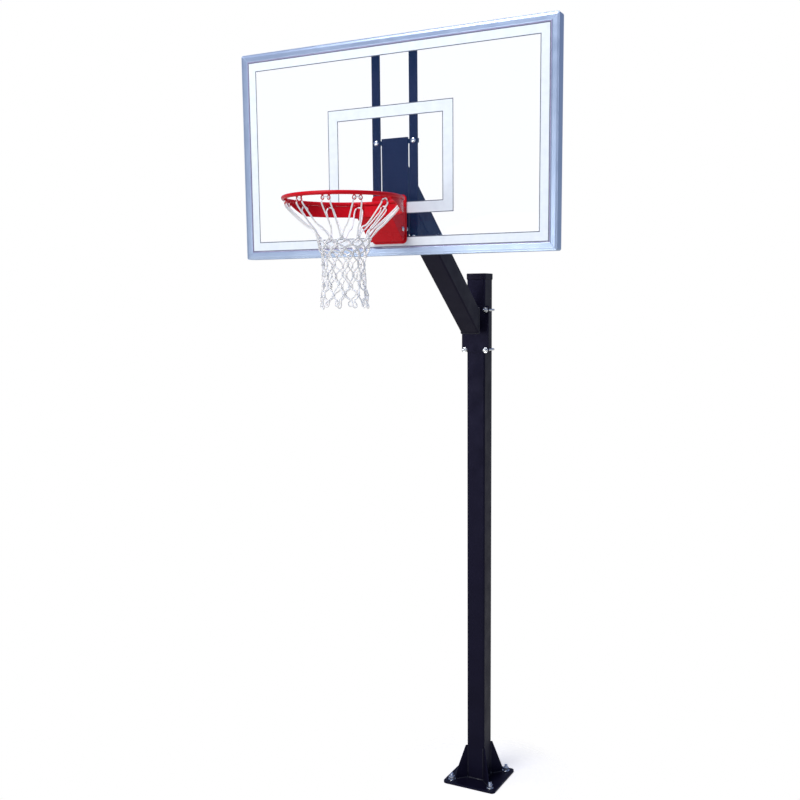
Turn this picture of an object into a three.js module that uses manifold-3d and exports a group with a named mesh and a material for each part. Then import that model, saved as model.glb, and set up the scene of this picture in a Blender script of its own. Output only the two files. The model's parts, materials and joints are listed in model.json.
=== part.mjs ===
// An outdoor basketball hoop bolted down on anchor studs: a square steel post on a gusseted base plate,
// a diagonal arm clamped to the post by two U-bolts, a framed clear backboard, and a sprung rim with a net.
// Millimetres, +Z up, +X to the player's right. The board faces -Y. The origin is on the ground, at the
// middle of the base plate's underside.
import * as THREE from "three";
import { mergeVertices } from "three/addons/utils/BufferGeometryUtils.js";
import Module from "manifold-3d";

// ---------------------------------------------------------------- driving dimensions
const GAP = 0.3; // left between pieces that are bolted or welded together

// Base and anchors
const BASE_SIZE = 304.8;
const BASE_THICKNESS = 12.7;
const BASE_CORNER = 19;
const ANCHOR_OFFSET = 114.3; // anchor stud centre from the plate's centre lines
const ANCHOR_RADIUS = 9.5;
const ANCHOR_HEIGHT = 48;
const ANCHOR_HOLE_RADIUS = 11;
const ANCHOR_NUT = { washerRadius: 20, washerHeight: 3.5, hexRadius: 16.5, height: 20, boreRadius: 9.9 };

// Post
const POST_WIDTH = 101.6;
const POST_WALL = 4.8;
const POST_CORNER = 9;
const POST_TOP = 2770;
const CAP_SKIRT = 26;
const CAP_WALL = 3;
const CAP_ROOF = 5;

// Gussets, standing on the base plate's diagonals
const GUSSET_THICKNESS = 8;
const GUSSET_HEIGHT = 186;
const GUSSET_TOE_HEIGHT = 30;
const GUSSET_TOE_RADIUS = 138;
const GUSSET_CLIP = 12; // cut off the inner lower corner, to clear the post's weld
const GUSSET_TOP_LENGTH = 10;

// Clamp round the post
const CLAMP_PLATE_WIDTH = 152.4;
const CLAMP_PLATE_THICKNESS = 6.4;
const CLAMP_BOTTOM = 2370;
const CLAMP_TOP = 2610;
const CLAMP_PLATE_CORNER = 6;
const U_BOLT_RADIUS = 6.35;
const U_BOLT_LEG_X = 59.2;
const U_BOLT_BEND = 14;
const U_BOLT_THREAD = 26; // length of each leg that stands in front of the clamp plate
const U_BOLT_HOLE_RADIUS = 7.35;
const U_BOLT_HEIGHTS = { upper: 2587, lower: 2381 };
const U_BOLT_NUT = { washerRadius: 14, washerHeight: 2.5, hexRadius: 11.5, height: 13, boreRadius: 7.15 };

// Arm
const ARM_WIDTH = 101.6;
const ARM_WALL = 4.8;
const ARM_CORNER = 8;
const ARM_SLOPE = THREE.MathUtils.degToRad(39.4);
const ARM_LOWER_Y = -122;
const ARM_LOWER_Z = 2534; // centre of the arm at its lower end
const ARM_MOUNT_PLATE = 8;
const ARM_STUB_WIDTH = 38;
const ARM_STUB_HEIGHT = 101.6;
const ARM_STUB_WALL = 5;
const ARM_STUB_CORNER = 7;
const ARM_STUB_INNER_CORNER = 2;

// Backboard
const BOARD_WIDTH = 1524;
const BOARD_HEIGHT = 914.4;
const BOARD_BOTTOM = 2832;
const BOARD_FACE_Y = -965.2; // 36 inches in front of the post's front face
const BOARD_CORNER = 8;
const FRAME_FACE = 32;
const FRAME_DEPTH = 50.8;
const FRAME_LIP = 1.7;
const FRAME_WALL = 3;
const PANEL_THICKNESS = 12.7;
const PANEL_RECESS = 2;
const PANEL_EDGE_COVER = 20;
const GASKET_WIDTH = 3.2;
const GASKET_THICKNESS = 1.2;
const BORDER_INNER_EDGE = 78; // from the board's outer edge to the border stripe's inner edge
const STRIPE_THICKNESS = 0.6;
const TARGET_WIDTH = 609.6;
const TARGET_HEIGHT = 457.2;
const TARGET_LINE = 50.8;
const TARGET_ABOVE_BOARD_BOTTOM = 174;

// Steelwork behind the board
const STRAP_WIDTH = 38;
const STRAP_THICKNESS = 9.5;
const STRAP_CENTRE_X = 91;
const STRAP_END_INSET = 8;
const HEAD_PLATE_WIDTH = 127;
const HEAD_PLATE_BOTTOM = 2886;
const HEAD_PLATE_TOP = 3333;
const CROSS_BAR_HEIGHT = 18;
const CROSS_BAR_HEIGHTS = { upper: 3317, lower: 2908 };
const STRAP_BOLT_RADIUS = 5;
const STRAP_BOLT_HEAD_RADIUS = 12;
const STRAP_BOLT_HOLE_RADIUS = 5.5;
const STRAP_BOLT_TAIL = 14; // stands out behind the cross bar
const STRAP_NUT_RADIUS = 10;
const STRAP_NUT_HEIGHT = 8;

// Rim
const RIM_TOP = 3048;
const RIM_ROD_RADIUS = 8;
const RIM_INNER_RADIUS = 228.6;
const RIM_CENTRE_FROM_BOARD = 381;
const BAND_THICKNESS = 5;
const BAND_BOTTOM = 2985;
const BAND_SWEEP = THREE.MathUtils.degToRad(200);
const BAND_TAPER_START = 26; // in front of the ring's middle, where the band's end is narrowest
const BAND_TAPER_END = 70; // behind the ring's middle, where it reaches full height
const BAND_TIP_HEIGHT = 6;
const RING_SIDES = 48;
const RING_ROD_SIDES = 8;
const HOOK_COUNT = 12;
const HOOK_ROD_RADIUS = 2.6;
const HOOK_RADIUS = 11;
const HOOK_INSET = 6; // from the ring rod's centre line towards the ring's middle
const HOOK_DROP = 3;

// Rim mounting and breakaway hinge
const BACK_PLATE_WIDTH = 168;
const BACK_PLATE_BOTTOM = 2880;
const BACK_PLATE_TOP = 3086;
const BACK_PLATE_THICKNESS = 6.4;
const BACK_PLATE_CORNER = 18;
const RIM_BOLT_X = 50.8;
const RIM_BOLT_HEIGHTS = { upper: 3046, lower: 2944.4 }; // a 4 in by 4 in pattern
const RIM_BOLT_RADIUS = 6;
const RIM_BOLT_HOLE_RADIUS = 6.6;
const RIM_BOLT_WASHER_RADIUS = 12.5;
const RIM_BOLT_WASHER_THICKNESS = 2;
const RIM_BOLT_HEAD_RADIUS = 11;
const RIM_BOLT_HEAD_HEIGHT = 9.5; // with its washer
const RIM_BOLT_TAIL = 14; // stands out behind the head plate
const RIM_NUT_RADIUS = 11.5;
const RIM_NUT_HEIGHT = 10;
const PANEL_HOLE_RADIUS = 8.5;
const SPACER_RADIUS = 13;
const HINGE_Y = -1004;
const HINGE_Z = 2939;
const HINGE_PIN_RADIUS = 6;
const HINGE_HOLE_RADIUS = 6.5;
const HINGE_HEAD_RADIUS = 10;
const HINGE_HEAD_WIDTH = 7;
const LUG_RADIUS = 22; // the back plate's flanges, round the pin
const LUG_RISE = 72; // from the pin to the flanges' top
const LUG_TOP_LENGTH = 14;
const LUG_SHOULDER = 8; // above the pin, where the flanges' round end starts
const FLANGE_OUTER_X = 75;
const FLANGE_THICKNESS = 5;
const HOUSING_OUTER_X = 83;
const HOUSING_SHEET = 4;
const HOUSING_REAR_Y = -972.6;
const HOUSING_ROOF_Z = 3034;
const HOUSING_REACH = 200; // from the ring's middle: its sides run on past the band, and are trimmed to it
const HOUSING_BOTTOM_CORNER = [8, -51]; // backwards and up from the pin
const HOUSING_FRONT_CORNER = [-91, 42];
const WEB_REAR_Y = -979;
const WEB_THICKNESS = 5;
const WEB_HALF_WIDTH = 66;
const SPRING_X = 34;
const SPRING_Z = 3005;
const SPRING_ROD_RADIUS = 6;
const SPRING_ROD_HOLE_RADIUS = 6.5;
const SPRING_ROD_WASHER_RADIUS = 14;
const SPRING_ROD_HEAD_RADIUS = 10;
const SPRING_ROD_HEAD_HEIGHT = 7;
const SPRING_HEAD_Y = -1043;
const SPRING_WASHER_THICKNESS = 2;
const WEB_SLOT_WIDTH = 15;
const WEB_SLOT_HEIGHT = 21;
const WEB_SLOT_CORNER = 5;
const WEB_SLOT_DROP = 2.5; // the rods move down in their slots as the rim tips
const SPRING_RADIUS = 11.5;
const SPRING_WIRE_RADIUS = 2.2;
const SPRING_TURNS = 6;

// Net, hung from the hooks: [radius, height] down its middle surface
const NET_THICKNESS = 5;
const NET_TOP = 3014;
const NET_OUTLINE = [
  [218, NET_TOP],
  [166, 2945],
  [110, 2880],
  [88, 2815],
  [82, 2745],
  [86, 2690],
  [100, 2640],
  [110, 2600],
];

// ---------------------------------------------------------------- derived dimensions
const POST_HALF = POST_WIDTH / 2;
const BOARD_BACK_Y = BOARD_FACE_Y + FRAME_DEPTH;
const BOARD_MIDDLE_Z = BOARD_BOTTOM + BOARD_HEIGHT / 2;
const PANEL_FRONT_Y = BOARD_FACE_Y + PANEL_RECESS;
const PANEL_BACK_Y = PANEL_FRONT_Y + PANEL_THICKNESS;
const STRIPE_FRONT_Y = PANEL_FRONT_Y - GAP - STRIPE_THICKNESS;
const BACK_PLATE_REAR_Y = STRIPE_FRONT_Y - GAP;
const BACK_PLATE_FRONT_Y = BACK_PLATE_REAR_Y - BACK_PLATE_THICKNESS;
const STEEL_FRONT_Y = BOARD_BACK_Y + GAP; // front of the straps and the head plate
const STEEL_BACK_Y = STEEL_FRONT_Y + STRAP_THICKNESS;
const ARM_UPPER_Y = STEEL_BACK_Y + GAP;
const CLAMP_BACK_Y = -POST_HALF - GAP;
const CLAMP_FRONT_Y = CLAMP_BACK_Y - CLAMP_PLATE_THICKNESS;
const RING_RADIUS = RIM_INNER_RADIUS + RIM_ROD_RADIUS;
const RING_Y = BOARD_FACE_Y - RIM_CENTRE_FROM_BOARD;
const RING_Z = RIM_TOP - RIM_ROD_RADIUS;
const BAND_TOP = RING_Z - RIM_ROD_RADIUS - GAP;
const BAND_OUTER_RADIUS = RING_RADIUS + BAND_THICKNESS / 2;
const OVERCUT = 1; // how far a cutting tool runs past the face that it cuts
const LAP = 1; // how far joined solids run into each other

// How finely each kind of round is faceted
const ROD_SIDES = 12; // pins, studs and bores
const ROUND_SIDES = 16;
const HEXAGON = 6;
const THIN_ROD_SIDES = 6; // spring wire and hooks
const HOOK_STEPS = 6;
const SPRING_STEPS_PER_TURN = 8;
const U_BOLT_SIDES = 8;
const U_BOLT_STEPS = 40;
const PLATE_CORNER_SEGMENTS = 3;
const DOME_STEPS = [0.4, 0.75]; // shares of the way from a round head's edge to its top
const BAND_SEGMENTS = 18;
const NET_SIDES = 24;

// ---------------------------------------------------------------- finishes
const finish = (color, roughness, metalness) => () =>
  new THREE.MeshStandardMaterial({ color, roughness, metalness });
const blackPowderCoat = finish("#16141d", 0.55, 0.3);
const redPowderCoat = finish("#d11f2b", 0.35, 0.2);
const paleFrame = finish("#c2d4ec", 0.4, 0.5);
const zincPlate = finish("#c9ced6", 0.3, 0.9);
const blackPlastic = finish("#131217", 0.5, 0);
const rubber = finish("#2b2838", 0.9, 0);
const whiteInk = finish("#e6eef6", 0.5, 0);
const netCord = finish("#eef0ee", 0.9, 0);
const clearAcrylic = () =>
  new THREE.MeshStandardMaterial({
    color: "#eef6fb",
    roughness: 0.05,
    metalness: 0,
    transparent: true,
    opacity: 0.2,
  });

// ---------------------------------------------------------------- solids
const wasm = await Module();
wasm.setup();

// A closed geometry as a manifold-3d solid.
function solidOf(geometry) {
  const bare = geometry.clone();
  bare.deleteAttribute("normal");
  bare.deleteAttribute("uv");
  const merged = mergeVertices(bare, 1e-4);
  const vertProperties = new Float32Array(merged.attributes.position.array);
  const triVerts = new Uint32Array(merged.index.array);
  return new wasm.Manifold(new wasm.Mesh({ numProp: 3, vertProperties, triVerts }));
}

// A manifold-3d solid as a geometry with flat-shaded faces.
function geometryOf(solid) {
  const mesh = solid.getMesh();
  const geometry = new THREE.BufferGeometry();
  geometry.setAttribute("position", new THREE.BufferAttribute(mesh.vertProperties, 3));
  geometry.setIndex(new THREE.BufferAttribute(mesh.triVerts, 1));
  const flat = geometry.toNonIndexed();
  flat.computeVertexNormals();
  return flat;
}

function cut(body, tools) {
  return geometryOf(tools.reduce((left, tool) => left.subtract(solidOf(tool)), solidOf(body)));
}

function join(parts) {
  return geometryOf(parts.map(solidOf).reduce((left, part) => left.add(part)));
}

function common(a, b) {
  return geometryOf(solidOf(a).intersect(solidOf(b)));
}

// ---------------------------------------------------------------- shapes
// A box between two corners.
function boxBetween([x0, y0, z0], [x1, y1, z1]) {
  const box = new THREE.BoxGeometry(x1 - x0, y1 - y0, z1 - z0);
  return box.translate((x0 + x1) / 2, (y0 + y1) / 2, (z0 + z1) / 2);
}

function roundedRectangle(width, height, corner) {
  const [x, y] = [width / 2, height / 2];
  const quarter = Math.PI / 2;
  const shape = new THREE.Shape();
  shape.absarc(x - corner, -y + corner, corner, -quarter, 0);
  shape.absarc(x - corner, y - corner, corner, 0, quarter);
  shape.absarc(-x + corner, y - corner, corner, quarter, 2 * quarter);
  shape.absarc(-x + corner, -y + corner, corner, 2 * quarter, 3 * quarter);
  return shape;
}

function rectangle(width, height) {
  const [x, y] = [width / 2, height / 2];
  const corners = [[-x, -y], [x, -y], [x, y], [-x, y]];
  return new THREE.Shape(corners.map(([u, v]) => new THREE.Vector2(u, v)));
}

const outlineOf = (points) => new THREE.Shape(points.map(([u, v]) => new THREE.Vector2(u, v)));

// three.js takes two points of an arc for each curve segment.
function extrude(shape, depth, curveSegments = 2) {
  return new THREE.ExtrudeGeometry(shape, { depth, bevelEnabled: false, curveSegments });
}

// A shape drawn in (x, z) and extruded along +Y from y = start.
function extrudeAlongY(shape, start, depth, curveSegments) {
  return extrude(shape, depth, curveSegments).rotateX(Math.PI / 2).translate(0, start + depth, 0);
}

// A shape drawn in (y, z) and extruded along +X from x = start.
function extrudeAlongX(shape, start, depth, curveSegments) {
  const axes = new THREE.Matrix4().set(0, 0, 1, start, 1, 0, 0, 0, 0, 1, 0, 0, 0, 0, 0, 1);
  return extrude(shape, depth, curveSegments).applyMatrix4(axes);
}

// A round bar along X, Y or Z between two places on that axis, centred at (u, v) on the other two.
function bar(axis, radius, from, to, [u, v], sides = ROUND_SIDES) {
  const cylinder = new THREE.CylinderGeometry(radius, radius, to - from, sides);
  const middle = (from + to) / 2;
  if (axis === "x") return cylinder.rotateZ(Math.PI / 2).translate(middle, u, v);
  if (axis === "y") return cylinder.translate(u, middle, v);
  return cylinder.rotateX(Math.PI / 2).translate(u, v, middle);
}

// A rod swept along a three.js curve, with closed ends.
function sweptRod(path, radius, steps, sides) {
  const section = new THREE.Shape();
  section.absarc(0, 0, radius, 0, 2 * Math.PI);
  const options = { steps, extrudePath: path, bevelEnabled: false, curveSegments: sides / 2 };
  return new THREE.ExtrudeGeometry(section, options);
}

// A flat arc in space: centre + radius * (u cos t + v sin t).
class ArcCurve extends THREE.Curve {
  constructor(centre, u, v, radius, start, end) {
    super();
    Object.assign(this, { centre, u, v, radius, start, end });
  }
  getPoint(t, target = new THREE.Vector3()) {
    const angle = this.start + t * (this.end - this.start);
    return target
      .copy(this.centre)
      .addScaledVector(this.u, this.radius * Math.cos(angle))
      .addScaledVector(this.v, this.radius * Math.sin(angle));
  }
}

// A helix along -Y from a start point.
class HelixCurve extends THREE.Curve {
  constructor(start, radius, length, turns) {
    super();
    Object.assign(this, { start, radius, length, turns });
  }
  getPoint(t, target = new THREE.Vector3()) {
    const angle = t * this.turns * 2 * Math.PI;
    const { x, y, z } = this.start;
    return target.set(
      x + this.radius * Math.cos(angle),
      y - t * this.length,
      z + this.radius * Math.sin(angle),
    );
  }
}

// ---------------------------------------------------------------- scene graph
const hoop = new THREE.Group();
hoop.name = "basketball_hoop";

function addGroup(name, parent = hoop) {
  const group = new THREE.Group();
  group.name = name;
  parent.add(group);
  return group;
}

function addPiece(parent, name, geometry, material) {
  const mesh = new THREE.Mesh(geometry, material());
  mesh.name = name;
  parent.add(mesh);
  return mesh;
}

const corners = [
  { name: "front_left", x: -1, y: -1 },
  { name: "front_right", x: 1, y: -1 },
  { name: "rear_left", x: -1, y: 1 },
  { name: "rear_right", x: 1, y: 1 },
];
const sides = { left: -1, right: 1 };

// ---------------------------------------------------------------- base
function basePlate() {
  const [bottom, top] = [-OVERCUT, BASE_THICKNESS + OVERCUT];
  const holes = corners.map(({ x, y }) =>
    bar("z", ANCHOR_HOLE_RADIUS, bottom, top, [x * ANCHOR_OFFSET, y * ANCHOR_OFFSET], ROD_SIDES),
  );
  const outline = roundedRectangle(BASE_SIZE, BASE_SIZE, BASE_CORNER);
  return cut(extrude(outline, BASE_THICKNESS, PLATE_CORNER_SEGMENTS), holes);
}

// A gusset drawn in (distance from the post's centre, height), then turned onto its diagonal.
function gusset({ x, y }) {
  const cornerSetback = (POST_HALF - POST_CORNER) * Math.SQRT2 + POST_CORNER;
  const inner = cornerSetback + GAP;
  const foot = BASE_THICKNESS + GAP;
  const outline = outlineOf([
    [inner + GUSSET_CLIP, foot],
    [GUSSET_TOE_RADIUS, foot],
    [GUSSET_TOE_RADIUS, foot + GUSSET_TOE_HEIGHT],
    [inner + GUSSET_TOP_LENGTH, foot + GUSSET_HEIGHT],
    [inner, foot + GUSSET_HEIGHT],
    [inner, foot + GUSSET_CLIP],
  ]);
  const plate = extrudeAlongY(outline, -GUSSET_THICKNESS / 2, GUSSET_THICKNESS);
  return plate.rotateZ(Math.atan2(y, x));
}

// A hexagon nut on its washer, bored through. It stands on +Z from z = 0.
function nutOnWasher({ washerRadius, washerHeight, hexRadius, height, boreRadius }) {
  const washer = bar("z", washerRadius, 0, washerHeight, [0, 0], ROUND_SIDES);
  const hex = bar("z", hexRadius, washerHeight - OVERCUT, height, [0, 0], HEXAGON);
  const bore = bar("z", boreRadius, -OVERCUT, height + OVERCUT, [0, 0], ROD_SIDES);
  return cut(join([washer, hex]), [bore]);
}

function addBase() {
  const base = addGroup("base");
  addPiece(base, "base_plate", basePlate(), blackPowderCoat);
  for (const corner of corners) {
    const centre = [corner.x * ANCHOR_OFFSET, corner.y * ANCHOR_OFFSET];
    const stud = bar("z", ANCHOR_RADIUS, GAP, ANCHOR_HEIGHT, centre, ROD_SIDES);
    const nut = nutOnWasher(ANCHOR_NUT).translate(...centre, BASE_THICKNESS + GAP);
    addPiece(base, "gusset_" + corner.name, gusset(corner), blackPowderCoat);
    addPiece(base, "anchor_stud_" + corner.name, stud, zincPlate);
    addPiece(base, "anchor_nut_" + corner.name, nut, zincPlate);
  }
}

// ---------------------------------------------------------------- post
function squareTube(width, wall, corner, length) {
  const shape = roundedRectangle(width, width, corner);
  shape.holes.push(roundedRectangle(width - 2 * wall, width - 2 * wall, corner - wall / 2));
  return extrude(shape, length);
}

function postCap() {
  const inner = POST_WIDTH + 2 * GAP;
  const outer = inner + 2 * CAP_WALL;
  const skirt = roundedRectangle(outer, outer, POST_CORNER + CAP_WALL);
  const shell = extrude(skirt, CAP_SKIRT + CAP_ROOF).translate(0, 0, POST_TOP - CAP_SKIRT);
  const socket = extrude(roundedRectangle(inner, inner, POST_CORNER), CAP_SKIRT + GAP + OVERCUT);
  return cut(shell, [socket.translate(0, 0, POST_TOP - CAP_SKIRT - OVERCUT)]);
}

function addPost() {
  const post = addGroup("post_group");
  const foot = BASE_THICKNESS + GAP;
  const tube = squareTube(POST_WIDTH, POST_WALL, POST_CORNER, POST_TOP - foot);
  addPiece(post, "post", tube.translate(0, 0, foot), blackPowderCoat);
  addPiece(post, "post_cap", postCap(), blackPlastic);
}

// ---------------------------------------------------------------- clamp
function clampPlate() {
  const height = CLAMP_TOP - CLAMP_BOTTOM;
  const outline = roundedRectangle(CLAMP_PLATE_WIDTH, height, CLAMP_PLATE_CORNER);
  const middle = (CLAMP_TOP + CLAMP_BOTTOM) / 2;
  const plate = extrudeAlongY(outline, CLAMP_FRONT_Y, CLAMP_PLATE_THICKNESS).translate(0, 0, middle);
  const holes = Object.values(U_BOLT_HEIGHTS).flatMap((z) =>
    [-U_BOLT_LEG_X, U_BOLT_LEG_X].map((x) =>
      bar("y", U_BOLT_HOLE_RADIUS, CLAMP_FRONT_Y - OVERCUT, CLAMP_BACK_Y + OVERCUT, [x, z], ROD_SIDES),
    ),
  );
  return cut(plate, holes);
}

// A square-bent U-bolt: two legs along Y, joined behind the post.
function uBolt(z) {
  const legEnd = CLAMP_FRONT_Y - U_BOLT_THREAD;
  const back = POST_HALF + GAP + U_BOLT_RADIUS;
  const straight = U_BOLT_LEG_X - U_BOLT_BEND;
  const at = (x, y) => new THREE.Vector3(x, y, z);
  const [right, forward] = [new THREE.Vector3(1, 0, 0), new THREE.Vector3(0, 1, 0)];
  const path = new THREE.CurvePath();
  const bend = (x, from, to) => {
    const centre = at(x, back - U_BOLT_BEND);
    path.add(new ArcCurve(centre, right, forward, U_BOLT_BEND, from, to));
  };
  path.add(new THREE.LineCurve3(at(-U_BOLT_LEG_X, legEnd), at(-U_BOLT_LEG_X, back - U_BOLT_BEND)));
  bend(-straight, Math.PI, Math.PI / 2);
  path.add(new THREE.LineCurve3(at(-straight, back), at(straight, back)));
  bend(straight, Math.PI / 2, 0);
  path.add(new THREE.LineCurve3(at(U_BOLT_LEG_X, back - U_BOLT_BEND), at(U_BOLT_LEG_X, legEnd)));
  return sweptRod(path, U_BOLT_RADIUS, U_BOLT_STEPS, U_BOLT_SIDES);
}

// A nut and washer on the clamp plate's front face.
function clampNut(x, z) {
  return nutOnWasher(U_BOLT_NUT).rotateX(Math.PI / 2).translate(x, CLAMP_FRONT_Y - GAP, z);
}

function addClamp(parent) {
  const clamp = addGroup("clamp", parent);
  addPiece(clamp, "clamp_plate", clampPlate(), blackPowderCoat);
  for (const [level, z] of Object.entries(U_BOLT_HEIGHTS)) {
    addPiece(clamp, "u_bolt_" + level, uBolt(z), zincPlate);
    for (const [side, sign] of Object.entries(sides)) {
      const nut = clampNut(sign * U_BOLT_LEG_X, z);
      addPiece(clamp, "u_bolt_nut_" + level + "_" + side, nut, zincPlate);
    }
  }
}

// ---------------------------------------------------------------- arm
// The square tube is laid along the slope, then trimmed by two vertical planes.
function armTube() {
  const [lower, upper] = [ARM_LOWER_Y, ARM_UPPER_Y];
  const overrun = ARM_WIDTH;
  const length = (lower - upper) / Math.cos(ARM_SLOPE) + 2 * overrun;
  const tube = squareTube(ARM_WIDTH, ARM_WALL, ARM_CORNER, length).translate(0, 0, -overrun);
  tube.rotateX(Math.PI / 2 - ARM_SLOPE).translate(0, lower, ARM_LOWER_Z);
  const reach = 2 * ARM_WIDTH;
  const slab = boxBetween(
    [-reach, upper, ARM_LOWER_Z - reach],
    [reach, lower, ARM_LOWER_Z + (lower - upper) + reach],
  );
  return common(tube, slab);
}

// End plate and stub tube, welded together, that hold the arm off the clamp plate and leave room for a
// spanner.
function armMount() {
  const plateBack = ARM_LOWER_Y + GAP + ARM_MOUNT_PLATE;
  const halfWidth = ARM_WIDTH / 2;
  const halfHeight = ARM_WIDTH / 2 / Math.cos(ARM_SLOPE);
  const plate = boxBetween(
    [-halfWidth, ARM_LOWER_Y + GAP, ARM_LOWER_Z - halfHeight],
    [halfWidth, plateBack, ARM_LOWER_Z + halfHeight],
  );
  const section = roundedRectangle(ARM_STUB_WIDTH, ARM_STUB_HEIGHT, ARM_STUB_CORNER);
  const [innerWidth, innerHeight] = [ARM_STUB_WIDTH, ARM_STUB_HEIGHT].map((d) => d - 2 * ARM_STUB_WALL);
  section.holes.push(roundedRectangle(innerWidth, innerHeight, ARM_STUB_INNER_CORNER));
  const start = plateBack - OVERCUT;
  const stub = extrudeAlongY(section, start, CLAMP_FRONT_Y - GAP - start);
  return join([plate, stub.translate(0, 0, ARM_LOWER_Z)]);
}

function addArm(parent) {
  const arm = addGroup("arm_group", parent);
  addPiece(arm, "arm", armTube(), blackPowderCoat);
  addPiece(arm, "arm_mount", armMount(), blackPowderCoat);
}

// ---------------------------------------------------------------- steelwork behind the board
const rimBoltPlaces = Object.entries(RIM_BOLT_HEIGHTS).flatMap(([level, z]) =>
  Object.entries(sides).map(([side, sign]) => ({ name: level + "_" + side, x: sign * RIM_BOLT_X, z })),
);
const strapBoltPlaces = Object.entries(CROSS_BAR_HEIGHTS).flatMap(([level, z]) =>
  Object.entries(sides).map(([side, sign]) => ({ name: level + "_" + side, x: sign * STRAP_CENTRE_X, z })),
);

// The arm's head plate, with a weld nut behind each rim bolt.
function headPlate() {
  const half = HEAD_PLATE_WIDTH / 2;
  const plate = boxBetween(
    [-half, STEEL_FRONT_Y, HEAD_PLATE_BOTTOM],
    [half, STEEL_BACK_Y, HEAD_PLATE_TOP],
  );
  const nuts = rimBoltPlaces.map(({ x, z }) =>
    bar("y", RIM_NUT_RADIUS, STEEL_BACK_Y - OVERCUT, STEEL_BACK_Y + RIM_NUT_HEIGHT, [x, z], HEXAGON),
  );
  const holes = rimBoltPlaces.map(({ x, z }) =>
    bar("y", RIM_BOLT_HOLE_RADIUS, STEEL_FRONT_Y - OVERCUT, STEEL_BACK_Y + RIM_BOLT_TAIL, [x, z], ROD_SIDES),
  );
  return cut(join([plate, ...nuts]), holes);
}

function strap(sign) {
  const [x0, x1] = [-STRAP_WIDTH / 2, STRAP_WIDTH / 2].map((x) => x + sign * STRAP_CENTRE_X);
  const flat = boxBetween(
    [x0, STEEL_FRONT_Y, BOARD_BOTTOM + STRAP_END_INSET],
    [x1, STEEL_BACK_Y, BOARD_BOTTOM + BOARD_HEIGHT - STRAP_END_INSET],
  );
  const holes = strapBoltPlaces.map(({ x, z }) =>
    bar("y", STRAP_BOLT_HOLE_RADIUS, STEEL_FRONT_Y - OVERCUT, STEEL_BACK_Y + OVERCUT, [x, z], ROD_SIDES),
  );
  return cut(flat, holes);
}

// A bar across the back of both straps and the head plate, with a weld nut behind each strap bolt.
function crossBar(z) {
  const half = STRAP_CENTRE_X + STRAP_WIDTH / 2;
  const front = STEEL_BACK_Y + GAP;
  const back = front + STRAP_THICKNESS;
  const halfHeight = CROSS_BAR_HEIGHT / 2;
  const flat = boxBetween([-half, front, z - halfHeight], [half, back, z + halfHeight]);
  const places = [-STRAP_CENTRE_X, STRAP_CENTRE_X];
  const nutBack = back + STRAP_NUT_HEIGHT;
  const nuts = places.map((x) => bar("y", STRAP_NUT_RADIUS, back - OVERCUT, nutBack, [x, z], HEXAGON));
  const holes = places.map((x) =>
    bar("y", STRAP_BOLT_HOLE_RADIUS, front - OVERCUT, nutBack + OVERCUT, [x, z], ROD_SIDES),
  );
  return cut(join([flat, ...nuts]), holes);
}

// A round-headed bolt with its head in front of a strap.
function strapBolt(x, z) {
  const seat = STEEL_FRONT_Y - GAP;
  const dome = STRAP_BOLT_HEAD_RADIUS / 2;
  const tip = STEEL_BACK_Y + STRAP_THICKNESS + STRAP_BOLT_TAIL;
  const domePoint = (share) => {
    const angle = (share * Math.PI) / 2;
    return [STRAP_BOLT_HEAD_RADIUS * Math.cos(angle), -seat + dome * Math.sin(angle)];
  };
  const profile = [
    [0, -tip],
    [STRAP_BOLT_RADIUS, -tip],
    [STRAP_BOLT_RADIUS, -seat],
    [STRAP_BOLT_HEAD_RADIUS, -seat],
    ...DOME_STEPS.map(domePoint),
    [0, -seat + dome],
  ].map(([r, h]) => new THREE.Vector2(r, h));
  return new THREE.LatheGeometry(profile, ROD_SIDES).rotateX(Math.PI).translate(x, 0, z);
}

function addSteelwork(parent) {
  const steel = addGroup("board_steelwork", parent);
  addPiece(steel, "head_plate", headPlate(), blackPowderCoat);
  for (const [side, sign] of Object.entries(sides)) {
    addPiece(steel, "board_strap_" + side, strap(sign), blackPowderCoat);
  }
  for (const [level, z] of Object.entries(CROSS_BAR_HEIGHTS)) {
    addPiece(steel, "cross_bar_" + level, crossBar(z), blackPowderCoat);
  }
  for (const { name, x, z } of strapBoltPlaces) {
    addPiece(steel, "strap_bolt_" + name, strapBolt(x, z), zincPlate);
  }
}

// ---------------------------------------------------------------- backboard
// The frame section, drawn as (inwards from the outer edge, backwards from the front face).
function frameSection() {
  const slotBack = PANEL_RECESS + PANEL_THICKNESS + GAP;
  const slotFloor = FRAME_FACE - PANEL_EDGE_COVER - GAP;
  const section = outlineOf([
    [0, 0],
    [FRAME_FACE, 0],
    [FRAME_FACE, FRAME_LIP],
    [slotFloor, FRAME_LIP],
    [slotFloor, slotBack],
    [FRAME_FACE, slotBack],
    [FRAME_FACE, FRAME_DEPTH],
    [0, FRAME_DEPTH],
  ]);
  const hollow = [
    [FRAME_WALL, slotBack + FRAME_WALL],
    [FRAME_WALL, FRAME_DEPTH - FRAME_WALL],
    [FRAME_FACE - FRAME_WALL, FRAME_DEPTH - FRAME_WALL],
    [FRAME_FACE - FRAME_WALL, slotBack + FRAME_WALL],
  ];
  section.holes.push(outlineOf(hollow));
  return section;
}

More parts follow.
